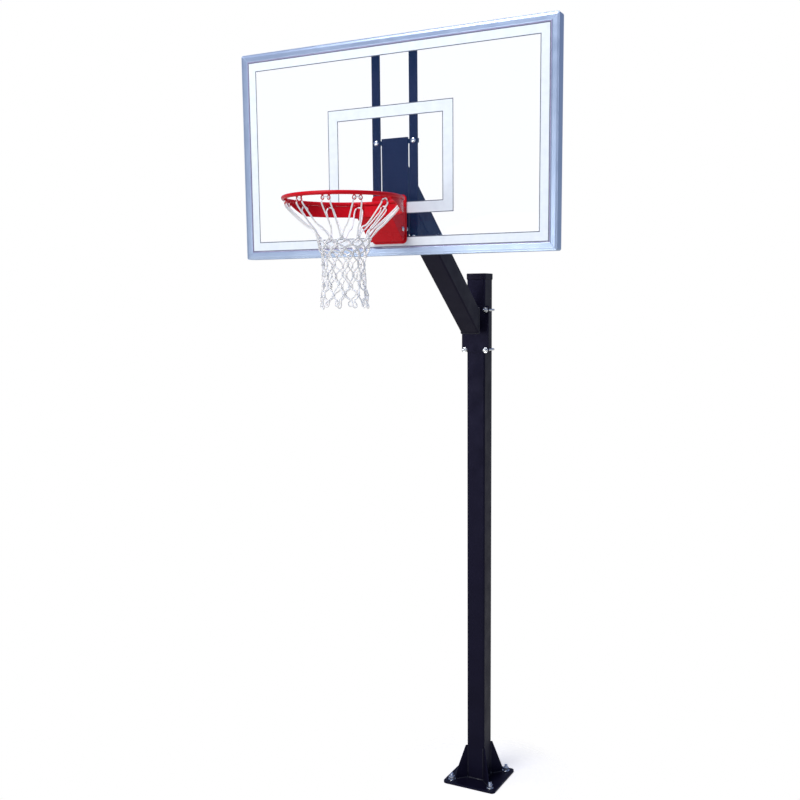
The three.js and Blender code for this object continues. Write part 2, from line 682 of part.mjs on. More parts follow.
// One side of the frame, built along X with its outer edge down, mitred, and turned by quarter turns.
function frameSide(length, across, quarterTurns) {
  const axes = new THREE.Matrix4().set(0, 0, -1, length / 2, 0, 1, 0, 0, 1, 0, 0, 0, 0, 0, 0, 1);
  const rail = extrude(frameSection(), length).applyMatrix4(axes);
  const mitre = GAP / Math.SQRT2;
  const half = length / 2;
  const trapezium = outlineOf([
    [-half + mitre, 0],
    [half - mitre, 0],
    [half - mitre - FRAME_FACE, FRAME_FACE],
    [-half + mitre + FRAME_FACE, FRAME_FACE],
  ]);
  const trimmed = common(rail, extrudeAlongY(trapezium, -OVERCUT, FRAME_DEPTH + 2 * OVERCUT));
  trimmed.translate(0, BOARD_FACE_Y, -across / 2);
  trimmed.rotateY(-quarterTurns * (Math.PI / 2)).translate(0, 0, BOARD_MIDDLE_Z);
  const outline = roundedRectangle(BOARD_WIDTH, BOARD_HEIGHT, BOARD_CORNER);
  const envelope = extrudeAlongY(outline, BOARD_FACE_Y - OVERCUT, FRAME_DEPTH + 2 * OVERCUT);
  return common(trimmed, envelope.translate(0, 0, BOARD_MIDDLE_Z));
}

// A flat rectangular ring on the board, measured inwards from the board's outer edge.
function boardRing(outerInset, innerInset, frontY, thickness) {
  const ring = rectangle(BOARD_WIDTH - 2 * outerInset, BOARD_HEIGHT - 2 * outerInset);
  ring.holes.push(rectangle(BOARD_WIDTH - 2 * innerInset, BOARD_HEIGHT - 2 * innerInset));
  return extrudeAlongY(ring, frontY, thickness).translate(0, 0, BOARD_MIDDLE_Z);
}

function panel() {
  const inset = FRAME_FACE - PANEL_EDGE_COVER;
  const [width, height] = [BOARD_WIDTH - 2 * inset, BOARD_HEIGHT - 2 * inset];
  const sheet = extrudeAlongY(rectangle(width, height), PANEL_FRONT_Y, PANEL_THICKNESS);
  const holes = rimBoltPlaces.map(({ x, z }) =>
    bar("y", PANEL_HOLE_RADIUS, PANEL_FRONT_Y - OVERCUT, PANEL_BACK_Y + OVERCUT, [x, z], ROD_SIDES),
  );
  return cut(sheet.translate(0, 0, BOARD_MIDDLE_Z), holes);
}

// The target is printed on the sheet, and the upper rim bolts' holes go through its lower line.
function target() {
  const ring = rectangle(TARGET_WIDTH, TARGET_HEIGHT);
  ring.holes.push(rectangle(TARGET_WIDTH - 2 * TARGET_LINE, TARGET_HEIGHT - 2 * TARGET_LINE));
  const middle = BOARD_BOTTOM + TARGET_ABOVE_BOARD_BOTTOM + TARGET_HEIGHT / 2;
  const print = extrudeAlongY(ring, STRIPE_FRONT_Y, STRIPE_THICKNESS).translate(0, 0, middle);
  const [front, back] = [STRIPE_FRONT_Y - OVERCUT, STRIPE_FRONT_Y + STRIPE_THICKNESS + OVERCUT];
  const holes = rimBoltPlaces.map(({ x, z }) =>
    bar("y", PANEL_HOLE_RADIUS, front, back, [x, z], ROD_SIDES),
  );
  return cut(print, holes);
}

const FRAME_SIDES = ["bottom", "right", "top", "left"]; // each a quarter turn on from the one before

function addBackboard(parent) {
  const board = addGroup("backboard", parent);
  const gasketInner = FRAME_FACE + GAP + GASKET_WIDTH;
  const gasketFront = PANEL_FRONT_Y - GAP - GASKET_THICKNESS;
  const gasket = boardRing(FRAME_FACE + GAP, gasketInner, gasketFront, GASKET_THICKNESS);
  const border = boardRing(gasketInner + GAP, BORDER_INNER_EDGE, STRIPE_FRONT_Y, STRIPE_THICKNESS);
  FRAME_SIDES.forEach((side, quarterTurns) => {
    const upright = quarterTurns % 2 === 1;
    const [length, across] = upright ? [BOARD_HEIGHT, BOARD_WIDTH] : [BOARD_WIDTH, BOARD_HEIGHT];
    addPiece(board, "frame_" + side, frameSide(length, across, quarterTurns), paleFrame);
  });
  addPiece(board, "acrylic_panel", panel(), clearAcrylic);
  addPiece(board, "panel_gasket", gasket, rubber);
  addPiece(board, "border_stripe", border, whiteInk);
  addPiece(board, "target_square", target(), whiteInk);
}

// ---------------------------------------------------------------- rim mounting
const fromPin = ([back, up]) => [HINGE_Y + back, HINGE_Z + up]; // (y, z) of a point measured from the pin

// The fixed back plate, with two flanges that carry the hinge pin.
function rimBackPlate() {
  const half = BACK_PLATE_WIDTH / 2;
  const height = BACK_PLATE_TOP - BACK_PLATE_BOTTOM;
  const middle = (BACK_PLATE_TOP + BACK_PLATE_BOTTOM) / 2;
  const outline = roundedRectangle(BACK_PLATE_WIDTH, height, BACK_PLATE_CORNER);
  const plate = extrudeAlongY(outline, BACK_PLATE_FRONT_Y, BACK_PLATE_THICKNESS);
  plate.translate(0, 0, middle);
  const lug = new THREE.Shape();
  const root = BACK_PLATE_FRONT_Y + OVERCUT;
  lug.moveTo(root, HINGE_Z - LUG_RADIUS);
  lug.lineTo(root, HINGE_Z + LUG_RISE);
  lug.lineTo(root - LUG_TOP_LENGTH, HINGE_Z + LUG_RISE);
  lug.lineTo(HINGE_Y - LUG_RADIUS, HINGE_Z + LUG_SHOULDER);
  lug.absarc(HINGE_Y, HINGE_Z, LUG_RADIUS, Math.PI, 1.5 * Math.PI);
  const inner = FLANGE_OUTER_X - FLANGE_THICKNESS;
  const flanges = [-FLANGE_OUTER_X, inner].map((x) => extrudeAlongX(lug, x, FLANGE_THICKNESS));
  const pinHole = bar("x", HINGE_HOLE_RADIUS, -half, half, [HINGE_Y, HINGE_Z], ROD_SIDES);
  const [front, back] = [BACK_PLATE_FRONT_Y - OVERCUT, BACK_PLATE_REAR_Y + OVERCUT];
  const boltHoles = rimBoltPlaces.map(({ x, z }) =>
    bar("y", RIM_BOLT_HOLE_RADIUS, front, back, [x, z], ROD_SIDES),
  );
  const springHoles = [-SPRING_X, SPRING_X].map((x) =>
    bar("y", SPRING_ROD_HOLE_RADIUS, front, back, [x, SPRING_Z], ROD_SIDES),
  );
  return cut(join([plate, ...flanges]), [pinHole, ...boltHoles, ...springHoles]);
}

function rimBolt(x, z) {
  const seat = BACK_PLATE_FRONT_Y - GAP;
  const underHead = seat - RIM_BOLT_WASHER_THICKNESS;
  const washer = bar("y", RIM_BOLT_WASHER_RADIUS, underHead, seat, [x, z], ROUND_SIDES);
  const head = bar("y", RIM_BOLT_HEAD_RADIUS, seat - RIM_BOLT_HEAD_HEIGHT, underHead + LAP, [x, z], HEXAGON);
  const shank = bar("y", RIM_BOLT_RADIUS, underHead, STEEL_BACK_Y + RIM_BOLT_TAIL, [x, z], ROD_SIDES);
  return join([washer, head, shank]);
}

// The sleeve that carries a rim bolt's clamping load past the acrylic's back to the head plate.
function rimSpacer(x, z) {
  const [front, back] = [PANEL_BACK_Y + GAP, STEEL_FRONT_Y - GAP];
  const sleeve = bar("y", SPACER_RADIUS, front, back, [x, z]);
  return cut(sleeve, [bar("y", RIM_BOLT_HOLE_RADIUS, front - OVERCUT, back + OVERCUT, [x, z], ROD_SIDES)]);
}

// Shouldered rod from the back plate through the housing's web, with a head that holds the spring.
function springRod(x) {
  const place = [x, SPRING_Z];
  const washerBack = SPRING_HEAD_Y + SPRING_WASHER_THICKNESS;
  const shank = bar("y", SPRING_ROD_RADIUS, SPRING_HEAD_Y, BACK_PLATE_REAR_Y - GAP, place, ROD_SIDES);
  const headFront = SPRING_HEAD_Y - SPRING_ROD_HEAD_HEIGHT;
  const head = bar("y", SPRING_ROD_HEAD_RADIUS, headFront, SPRING_HEAD_Y, place, HEXAGON);
  const washer = bar("y", SPRING_ROD_WASHER_RADIUS, SPRING_HEAD_Y - LAP, washerBack, place, ROUND_SIDES);
  return join([shank, head, washer]);
}

function breakawaySpring(x) {
  const seat = GAP + SPRING_WIRE_RADIUS;
  const rearEnd = WEB_REAR_Y - WEB_THICKNESS - seat;
  const frontEnd = SPRING_HEAD_Y + SPRING_WASHER_THICKNESS + seat;
  const start = new THREE.Vector3(x, rearEnd, SPRING_Z);
  const helix = new HelixCurve(start, SPRING_RADIUS, rearEnd - frontEnd, SPRING_TURNS);
  return sweptRod(helix, SPRING_WIRE_RADIUS, SPRING_TURNS * SPRING_STEPS_PER_TURN, THIN_ROD_SIDES);
}

function hingePin() {
  const inner = HOUSING_OUTER_X + GAP;
  const outer = inner + HINGE_HEAD_WIDTH;
  const place = [HINGE_Y, HINGE_Z];
  const shank = bar("x", HINGE_PIN_RADIUS, -inner - LAP, inner + LAP, place, ROD_SIDES);
  const heads = [[inner, outer], [-outer, -inner]];
  return join([shank, ...heads.map(([from, to]) => bar("x", HINGE_HEAD_RADIUS, from, to, place, ROD_SIDES))]);
}

function addRimMounting(parent) {
  const mounting = addGroup("rim_mounting", parent);
  addPiece(mounting, "rim_back_plate", rimBackPlate(), redPowderCoat);
  addPiece(mounting, "hinge_pin", hingePin(), zincPlate);
  for (const { name, x, z } of rimBoltPlaces) {
    addPiece(mounting, "rim_bolt_" + name, rimBolt(x, z), zincPlate);
    addPiece(mounting, "rim_spacer_" + name, rimSpacer(x, z), zincPlate);
  }
  for (const [side, sign] of Object.entries(sides)) {
    addPiece(mounting, "spring_rod_" + side, springRod(sign * SPRING_X), zincPlate);
    addPiece(mounting, "breakaway_spring_" + side, breakawaySpring(sign * SPRING_X), zincPlate);
  }
}

// ---------------------------------------------------------------- rim
const HOUSING_FRONT_Y = RING_Y + HOUSING_REACH;

// The housing's side outline: a wedge from the ring down to the hinge, chamfered below the pin so that it
// clears the back plate as it swings.
function housingSide() {
  return outlineOf([
    [HOUSING_FRONT_Y, HOUSING_ROOF_Z],
    [HOUSING_REAR_Y, HOUSING_ROOF_Z],
    [HOUSING_REAR_Y, HINGE_Z],
    fromPin(HOUSING_BOTTOM_CORNER),
    fromPin(HOUSING_FRONT_CORNER),
    [HOUSING_FRONT_Y, HINGE_Z + HOUSING_FRONT_CORNER[1]],
  ]);
}

// The sloping sheet that closes the wedge from below and runs on, level, to the ring's band.
function housingCover(halfWidth) {
  const [bottomBack, bottomUp] = HOUSING_BOTTOM_CORNER;
  const [frontBack, frontUp] = HOUSING_FRONT_CORNER;
  const slopingSheet = HOUSING_SHEET * Math.SQRT2;
  const section = outlineOf([
    fromPin([bottomBack, bottomUp]),
    fromPin([bottomBack, bottomUp + slopingSheet]),
    fromPin([frontBack + slopingSheet, frontUp + HOUSING_SHEET]),
    [HOUSING_FRONT_Y, HINGE_Z + frontUp + HOUSING_SHEET],
    [HOUSING_FRONT_Y, HINGE_Z + frontUp],
    fromPin([frontBack, frontUp]),
  ]);
  return extrudeAlongX(section, -halfWidth, 2 * halfWidth);
}

// A sheet-metal box: two sides, a roof, a sloping cover, and a web inside that the springs push on.
function housing() {
  const inner = HOUSING_OUTER_X - HOUSING_SHEET;
  const cheeks = [-HOUSING_OUTER_X, inner].map((x) => extrudeAlongX(housingSide(), x, HOUSING_SHEET));
  const lap = inner + LAP; // the roof and the cover run into the sides
  const roof = boxBetween(
    [-lap, HOUSING_FRONT_Y, HOUSING_ROOF_Z - HOUSING_SHEET],
    [lap, WEB_REAR_Y, HOUSING_ROOF_Z],
  );
  const web = boxBetween(
    [-WEB_HALF_WIDTH, WEB_REAR_Y - WEB_THICKNESS, HINGE_Z + HOUSING_FRONT_CORNER[1]],
    [WEB_HALF_WIDTH, WEB_REAR_Y, HOUSING_ROOF_Z - LAP],
  );
  const bandClearance = BAND_OUTER_RADIUS + 2 * GAP;
  const rodClearance = RING_RADIUS + RIM_ROD_RADIUS + GAP;
  const bandBody = bar("z", bandClearance, HINGE_Z, RIM_TOP, [0, RING_Y], RING_SIDES);
  const rodBody = bar("z", rodClearance, BAND_TOP, RIM_TOP, [0, RING_Y], RING_SIDES);
  const pinHole = bar("x", HINGE_HOLE_RADIUS, -2 * lap, 2 * lap, [HINGE_Y, HINGE_Z], ROD_SIDES);
  const rodSlots = [-SPRING_X, SPRING_X].map((x) => {
    const slot = roundedRectangle(WEB_SLOT_WIDTH, WEB_SLOT_HEIGHT, WEB_SLOT_CORNER);
    const front = WEB_REAR_Y - WEB_THICKNESS - OVERCUT;
    const through = extrudeAlongY(slot, front, WEB_THICKNESS + 2 * OVERCUT);
    return through.translate(x, 0, SPRING_Z - WEB_SLOT_DROP);
  });
  const walls = join([...cheeks, roof, housingCover(lap), web]);
  return cut(walls, [bandBody, rodBody, pinHole, ...rodSlots]);
}

// A strip under the rear half of the ring, with both its ends tapered up towards the rod.
function ringBand() {
  const arc = new THREE.Shape();
  const start = Math.PI / 2 - BAND_SWEEP / 2;
  const end = Math.PI / 2 + BAND_SWEEP / 2;
  arc.absarc(0, 0, BAND_OUTER_RADIUS, start, end, false);
  arc.absarc(0, 0, BAND_OUTER_RADIUS - BAND_THICKNESS, end, start, true);
  const strip = extrude(arc, BAND_TOP - BAND_BOTTOM, BAND_SEGMENTS).translate(0, RING_Y, BAND_BOTTOM);
  const sideView = outlineOf([
    [RING_Y - BAND_TAPER_START, BAND_TOP + OVERCUT],
    [RING_Y - BAND_TAPER_START, BAND_TOP - BAND_TIP_HEIGHT],
    [RING_Y + BAND_TAPER_END, BAND_BOTTOM - OVERCUT],
    [RING_Y + 2 * RING_RADIUS, BAND_BOTTOM - OVERCUT],
    [RING_Y + 2 * RING_RADIUS, BAND_TOP + OVERCUT],
  ]);
  return common(strip, extrudeAlongX(sideView, -2 * RING_RADIUS, 4 * RING_RADIUS));
}

// The ring rod with its net hooks welded under its inner side.
function ring() {
  const torus = new THREE.TorusGeometry(RING_RADIUS, RIM_ROD_RADIUS, RING_ROD_SIDES, RING_SIDES);
  const rod = torus.translate(0, RING_Y, RING_Z);
  const radius = RING_RADIUS - HOOK_INSET;
  const hooks = Array.from({ length: HOOK_COUNT }, (_, i) => {
    const angle = ((i + 0.5) / HOOK_COUNT) * 2 * Math.PI;
    const [c, s] = [Math.cos(angle), Math.sin(angle)];
    const centre = new THREE.Vector3(radius * c, RING_Y + radius * s, RING_Z - HOOK_DROP);
    const along = new THREE.Vector3(-s, c, 0);
    const up = new THREE.Vector3(0, 0, 1);
    const path = new ArcCurve(centre, along, up, HOOK_RADIUS, Math.PI, 2 * Math.PI);
    return sweptRod(path, HOOK_ROD_RADIUS, HOOK_STEPS, THIN_ROD_SIDES);
  });
  return join([rod, ...hooks]);
}

// The net as one open funnel of even thickness.
function net() {
  const half = NET_THICKNESS / 2;
  const outer = NET_OUTLINE.map(([r, z]) => new THREE.Vector2(r + half, z)).reverse();
  const inner = NET_OUTLINE.map(([r, z]) => new THREE.Vector2(r - half, z));
  const profile = [...outer, ...inner, outer[0]];
  const funnel = new THREE.LatheGeometry(profile, NET_SIDES).rotateX(Math.PI / 2);
  return funnel.translate(0, RING_Y, 0);
}

function addRim(parent) {
  const rim = addGroup("rim", parent);
  addPiece(rim, "rim_housing", housing(), redPowderCoat);
  addPiece(rim, "ring", ring(), redPowderCoat);
  addPiece(rim, "ring_band", ringBand(), redPowderCoat);
  addPiece(rim, "net", net(), netCord);
}

// ---------------------------------------------------------------- assembly
addBase();
addPost();
const armAssembly = addGroup("arm_assembly");
addClamp(armAssembly);
addArm(armAssembly);
addSteelwork(armAssembly);
addBackboard(armAssembly);
addRimMounting(armAssembly);
addRim(armAssembly);

export default hoop;
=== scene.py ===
"""An outdoor basketball hoop bolted to the ground: its looks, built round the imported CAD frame.

Metres, +Z up. The board faces -Y, and the origin is on the ground under the post.
"""
import json
import math

import bpy
import numpy as np
from mathutils import Matrix, Vector


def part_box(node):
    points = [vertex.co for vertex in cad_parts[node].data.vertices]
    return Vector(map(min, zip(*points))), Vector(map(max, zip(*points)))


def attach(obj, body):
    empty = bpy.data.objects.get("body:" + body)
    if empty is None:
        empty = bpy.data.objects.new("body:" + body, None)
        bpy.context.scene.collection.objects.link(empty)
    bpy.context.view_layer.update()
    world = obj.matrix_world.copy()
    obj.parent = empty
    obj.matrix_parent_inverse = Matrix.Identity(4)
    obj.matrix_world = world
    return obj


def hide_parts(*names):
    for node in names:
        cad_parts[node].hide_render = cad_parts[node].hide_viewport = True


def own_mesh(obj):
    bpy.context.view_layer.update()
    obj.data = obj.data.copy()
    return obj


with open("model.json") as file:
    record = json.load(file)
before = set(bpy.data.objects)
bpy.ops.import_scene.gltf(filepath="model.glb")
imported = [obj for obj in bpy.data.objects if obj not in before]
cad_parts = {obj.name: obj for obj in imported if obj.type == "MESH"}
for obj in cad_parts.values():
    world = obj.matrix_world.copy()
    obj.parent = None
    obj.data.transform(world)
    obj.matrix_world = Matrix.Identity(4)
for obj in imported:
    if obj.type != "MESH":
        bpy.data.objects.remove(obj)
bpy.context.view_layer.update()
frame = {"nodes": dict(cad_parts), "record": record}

TURN = 2 * math.pi
MM = 0.001
rng = np.random.default_rng(11)

# ------------------------------------------------------------------ driving values
RING_ROD = 8 * MM
HOOKS = 12
HOOK_WIRE = 2.1 * MM
HOOK_INSET = 6 * MM
HOOK_HALF = 25 * MM  # from a hook's middle to its end, with one loop on each side
HOOK_CURL = 11.5 * MM
HOOK_SPLIT = 2.6 * MM  # how far a loop's two sides pass each other
HOOK_DEPTH = 21 * MM

NET_CORD = 2.7 * MM
NET_LOOP_CORD = 3.1 * MM
NET_PLY = 2.4 * MM  # from a double strand's middle to each of its two cords
NET_TWIST = math.radians(17)  # the hanging net turns this far from its top to its bottom
NET_SLANT = 0.4  # how straight a strand runs from knot to knot
NET_ROWS = 8
NET_CLOSE_ROWS = 3  # the gaps between the upper rows, which are knotted close together
NET_FIRST_ROW = 2885 * MM
NET_CLOSE_STEP = 22 * MM
NET_STEP = 40 * MM
NET_END = 2600 * MM
NET_HEIGHTS = (2.600, 2.640, 2.690, 2.745, 2.815, 2.885, 2.945, 3.014)  # the hanging net's outline,
NET_RADII = (0.110, 0.101, 0.087, 0.082, 0.088, 0.106, 0.166, 0.218)  # from its bottom to the ring
NET_SWAY = 0.028  # how far knots stray round the net, in radians, as a standard deviation
NET_STRAY = 2 * MM  # and how far they stray up, down, in and out
KNOT_TURNS = 2
CLOSE_KNOT = 4.9 * MM  # from a knot's middle to its wound cord, where each strand is double
OPEN_KNOT = 3.9 * MM

ARM_SLOPE = math.radians(39.4)
POST_CORNER = 9 * MM
GUSSET_HALF = 4 * MM
GUSSET_TOE = 138 * MM
STRIPE_LINES = {"border_stripe": 42 * MM, "target_square": 50.8 * MM}
KEYLINE = 3.4 * MM  # the dark line along both edges of the printed stripes

EDGE_WIDTHS = {  # how far a CAD node's edges are rounded, in millimetres
    "base_plate": 1.2, "post_cap": 2.6, "post": 0.8, "arm": 0.8, "clamp_plate": 1.0, "rim_housing": 1.0,
    "ring_band": 1.2, "rim_back_plate": 0.9, "acrylic_panel": 0.5, "panel_gasket": 0.4,
    "border_stripe": 0.0, "target_square": 0.0,
}
OTHER_EDGE_WIDTH = 0.8

SPRING_WIRE = 2.2 * MM
SPRING_TURNS = 6
NUT_STEPS = 36  # points round a nut, a washer or a bolt's head

WORLD_STRENGTH = 0.6
GROUND = (1.0, 1.0, 1.0)
HORIZON = (0.62, 0.68, 0.78)
ZENITH = (0.26, 0.34, 0.66)
SKY = ((0.42, GROUND), (0.5, HORIZON), (0.75, ZENITH))  # by height: 0 is straight down, 1 straight up
FLOOR_GLOW = (0.56, 0.53, 0.46)  # the floor is lit from below, as a light table is
FLOOR_HALF = 14.0
FLOOR_FADE = (0.24, 0.55)  # the floor turns clear between these distances from the post's axis
LIGHTS = {  # place, point it faces, size, power, colour
    "key": ((-1.0, -4.2, 8.0), (0, -0.9, 2.9), 3.0, 310, (1.0, 0.98, 0.96)),
    "front": ((-2.2, -7.8, 1.9), (0, -0.9, 2.7), 3.5, 120, (1.0, 1.0, 1.0)),
    "fill": ((4.5, -3.5, 3.6), (0, -0.9, 2.6), 3.0, 16, (0.62, 0.76, 1.0)),
}
CAMERA_PLACE = (2.116, -4.805, 2.631)
CAMERA_YAW = math.radians(27.07)
CAMERA_PITCH = math.radians(-7.89)
CAMERA_ROLL = math.radians(-0.39)
CAMERA_LENS = 44.71  # millimetres
CAMERA_SENSOR = 36  # millimetres
CAMERA_SHIFT = (-0.0284, 0.0495)


# ------------------------------------------------------------------ node materials
class Finish:
    """A node material, built one node at a time. A node given as an input stands for its first output."""

    def __init__(self, name):
        self.material = bpy.data.materials.new(name)
        self.material.use_nodes = True
        self.nodes = self.material.node_tree.nodes
        self.links = self.material.node_tree.links
        self.nodes.clear()
        self.output = self.nodes.new("ShaderNodeOutputMaterial")

    def add(self, kind, inputs=None, **settings):
        node = self.nodes.new("ShaderNode" + kind)
        for key, value in settings.items():
            setattr(node, key, value)
        for key, value in (inputs or {}).items():
            self.feed(node.inputs[key], value)
        return node

    def feed(self, socket, value):
        if isinstance(value, bpy.types.Node):
            value = value.outputs[0]
        if isinstance(value, bpy.types.NodeSocket):
            self.links.new(value, socket)
        else:
            socket.default_value = value

    def math(self, operation, *values):
        node = self.add("Math", operation=operation)
        for socket, value in zip(node.inputs, values):
            self.feed(socket, value)
        return node

    def place(self):
        return self.add("TexCoord").outputs["Object"]

    def axes(self):
        return self.add("SeparateXYZ", {"Vector": self.place()}).outputs

    def noise(self, scale, detail=2.0, stretch=(1, 1, 1)):
        scaled = self.add("Mapping", {"Vector": self.place(), "Scale": stretch})
        return self.add("TexNoise", {"Vector": scaled, "Scale": scale, "Detail": detail})

    def ramp(self, factor, low=0.0, high=1.0):
        """low to high as factor goes from 0.3 to 0.7, which is where noise has its values."""
        node = self.add("MapRange", {"Value": factor, "From Min": 0.3, "From Max": 0.7})
        self.feed(node.inputs["To Min"], low)
        self.feed(node.inputs["To Max"], high)
        return node

    def smooth_step(self, value, start, end, height):
        """0 to height as value goes from start to end, level at both."""
        inputs = {"Value": value, "From Min": start, "From Max": end, "To Max": height}
        return self.add("MapRange", inputs, interpolation_type="SMOOTHSTEP")

    def blend(self, factor, a, b):
        node = self.add("Mix", data_type="RGBA")
        for key, value in (("Factor", factor), ("A", a), ("B", b)):
            sockets = [s for s in node.inputs if s.name == key and s.enabled]
            self.feed(sockets[0], value)
        return next(s for s in node.outputs if s.enabled)

    def mottle(self, scale, detail, a, b):
        """Patches of two colours."""
        return self.blend(self.ramp(self.noise(scale, detail)), a, b)

    def from_middle(self, coordinate, middle):
        return self.math("ABSOLUTE", self.math("SUBTRACT", coordinate, middle))

    def bump(self, height, distance, normal=None):
        node = self.add("Bump", {"Height": height, "Distance": distance, "Strength": 1.0})
        if normal is not None:
            self.feed(node.inputs["Normal"], normal)
        return node

    def principled(self, inputs):
        shader = self.add("BsdfPrincipled", inputs)
        self.feed(self.output.inputs["Surface"], shader)
        return self.material


def rgba(red, green, blue):
    return (red, green, blue, 1.0)


def powder_coat(name, colour, shade, dust, tint, roughness, shine):
    """Baked powder: an orange-peel skin, faint broad mottling, and specks of dust."""
    f = Finish(name)
    tone = f.mottle(3.0, 4.0, shade, colour)
    grains, drifts = f.ramp(f.noise(700.0, 1.0), 0.0, 0.35), f.ramp(f.noise(6.0), 0.0, 0.25)
    skin = f.bump(f.noise(330.0, 1.5), 0.10 * MM)
    return f.principled({
        "Base Color": f.blend(f.math("MULTIPLY", grains, drifts), tone, dust),
        "Roughness": f.ramp(f.noise(14.0, 5.0), roughness - 0.07, roughness + 0.09),
        "Specular IOR Level": shine,
        "Specular Tint": tint,
        "Normal": f.bump(f.noise(1400.0, 1.0), 0.03 * MM, skin),
    })


def weld_metal(name, colour, crown):
    """Coated weld bead: glossy on its ripples' crowns, with spatter grain. Its lighter crown colour, in
    random patches, is painted highlight.
    """
    f = Finish(name)
    # Painted highlight: random patches of the lighter crown colour stand in for light catching the bead.
    tone = f.mottle(160.0, 3.0, colour, crown)
    grain = f.bump(f.noise(600.0, 3.0), 0.15 * MM)
    gloss = f.ramp(f.noise(90.0), 0.22, 0.5)
    return f.principled({"Base Color": tone, "Roughness": gloss, "Metallic": 0.35, "Normal": grain})


def painted_extrusion(name):
    """Satin coat over an aluminium extrusion: a crowned face with a lip, die lines, grain and mottling."""
    f = Finish(name)
    low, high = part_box("frame_left")[0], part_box("frame_right")[1]
    middle, half = (low + high) / 2, (high - low) / 2
    x, y, z = f.axes()
    across = f.math("SUBTRACT", half.x, f.from_middle(x, middle.x))
    up = f.math("SUBTRACT", half.z, f.from_middle(z, middle.z))
    inset = f.math("MINIMUM", across, up)
    crown = f.smooth_step(inset, 0.0, 11 * MM, 2.0)
    lip = f.smooth_step(inset, 26 * MM, 32 * MM, 1.8)
    profile = f.bump(f.math("SUBTRACT", crown, lip), 1 * MM)
    tone = f.mottle(5.0, 4.0, rgba(0.42, 0.52, 0.70), rgba(0.48, 0.58, 0.75))
    across_length = f.add("CombineXYZ", {"X": f.math("ADD", inset, y)})
    stripes = f.add("TexNoise", {"Vector": across_length, "Scale": 420.0, "Detail": 2.0})
    die_lines = f.bump(stripes, 0.04 * MM, profile)
    return f.principled({
        "Base Color": tone,
        "Roughness": f.ramp(f.noise(20.0, 4.0), 0.32, 0.42),
        "Metallic": 0.75,
        "Specular Tint": rgba(0.8, 0.9, 1.0),
        "Normal": f.bump(f.noise(1500.0, 1.0), 0.02 * MM, die_lines),
    })


def zinc_plate(name):
    """Bright zinc: blue-white metal with yellowish patches and fine tumbling marks."""
    f = Finish(name)
    tone = f.mottle(70.0, 3.0, rgba(0.72, 0.77, 0.86), rgba(0.86, 0.85, 0.78))
    dull = f.blend(f.ramp(f.noise(260.0, 3.0), 0.0, 0.35), tone, rgba(0.42, 0.45, 0.5))
    marks = f.bump(f.noise(1100.0, 3.0, stretch=(1, 1, 3)), 0.05 * MM)
    gloss = f.ramp(f.noise(150.0, 4.0), 0.14, 0.36)
    return f.principled({"Base Color": dull, "Roughness": gloss, "Metallic": 1.0, "Normal": marks})


def clear_acrylic(name):
    """Clear sheet, seen through straight: a faint blue haze, and a mirror layer that grows at low angles."""
    f = Finish(name)
    ripple = f.ramp(f.noise(4.0, 3.0), 0.0, 0.02)
    mirror = f.add("BsdfGlossy", {"Color": rgba(0.62, 0.76, 1.0), "Roughness": ripple})
    through = f.add("BsdfTransparent", {"Color": rgba(0.998, 0.999, 1.0)})
    front = f.math("SUBTRACT", 1.0, f.add("NewGeometry").outputs["Backfacing"])
    share = f.math("MULTIPLY", f.add("Fresnel", {"IOR": 1.3}), front)
    clear = f.add("MixShader", {0: share, 1: through, 2: mirror})
    haze = f.add("BsdfDiffuse", {"Color": f.blend(front, rgba(0, 0, 0), rgba(0.004, 0.016, 0.048))})
    f.feed(f.output.inputs["Surface"], f.add("AddShader", {0: clear, 1: haze}))
    return f.material


def printed_ink(name, node, line):
    """Screen-printed white, with a thin dark keyline along its inner and outer edges."""
    f = Finish(name)
    low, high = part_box(node)
    middle, half = (low + high) / 2, (high - low) / 2
    x, _, z = f.axes()
    across = f.math("SUBTRACT", f.from_middle(x, middle.x), half.x)
    up = f.math("SUBTRACT", f.from_middle(z, middle.z), half.z)
    edge = f.math("MAXIMUM", across, up)
    outer = f.math("GREATER_THAN", edge, -KEYLINE)
    inner = f.math("LESS_THAN", edge, KEYLINE - line)
    key = f.math("MAXIMUM", outer, inner)
    white = f.mottle(30.0, 5.0, rgba(0.78, 0.84, 0.89), rgba(0.84, 0.90, 0.94))
    tone = f.blend(key, white, rgba(0.10, 0.12, 0.17))
    mesh_marks = f.bump(f.noise(2500.0, 2.0), 0.02 * MM)
    return f.principled({"Base Color": tone, "Roughness": 0.42, "Normal": mesh_marks})


def rubber_painted_shade(name):
    """Matt grey-violet rubber. The gasket is a real part, but its violet is painted shade: it draws the shade
    line along the board frame's inner edge.
    """
    f = Finish(name)
    # Painted shade: the grey-violet stands in for the shade line along the board frame's inner edge.
    tone = f.mottle(40.0, 4.0, rgba(0.30, 0.27, 0.46), rgba(0.40, 0.36, 0.55))
    grain = f.bump(f.noise(1800.0, 3.0), 0.05 * MM)
    return f.principled({"Base Color": tone, "Roughness": 0.8, "Normal": grain})


def moulded_plastic(name):
    """Black plastic with the fine spark-eroded grain of its mould."""
    f = Finish(name)
    tone = f.mottle(25.0, 3.0, rgba(0.006, 0.005, 0.012), rgba(0.010, 0.009, 0.018))
    cells = f.add("TexVoronoi", {"Vector": f.place(), "Scale": 900.0})
    grain = f.bump(cells, 0.08 * MM)
    return f.principled({
        "Base Color": tone,
        "Roughness": 0.5,
        "Specular IOR Level": 0.16,
        "Specular Tint": rgba(0.7, 0.68, 1.0),
        "Normal": grain,
    })


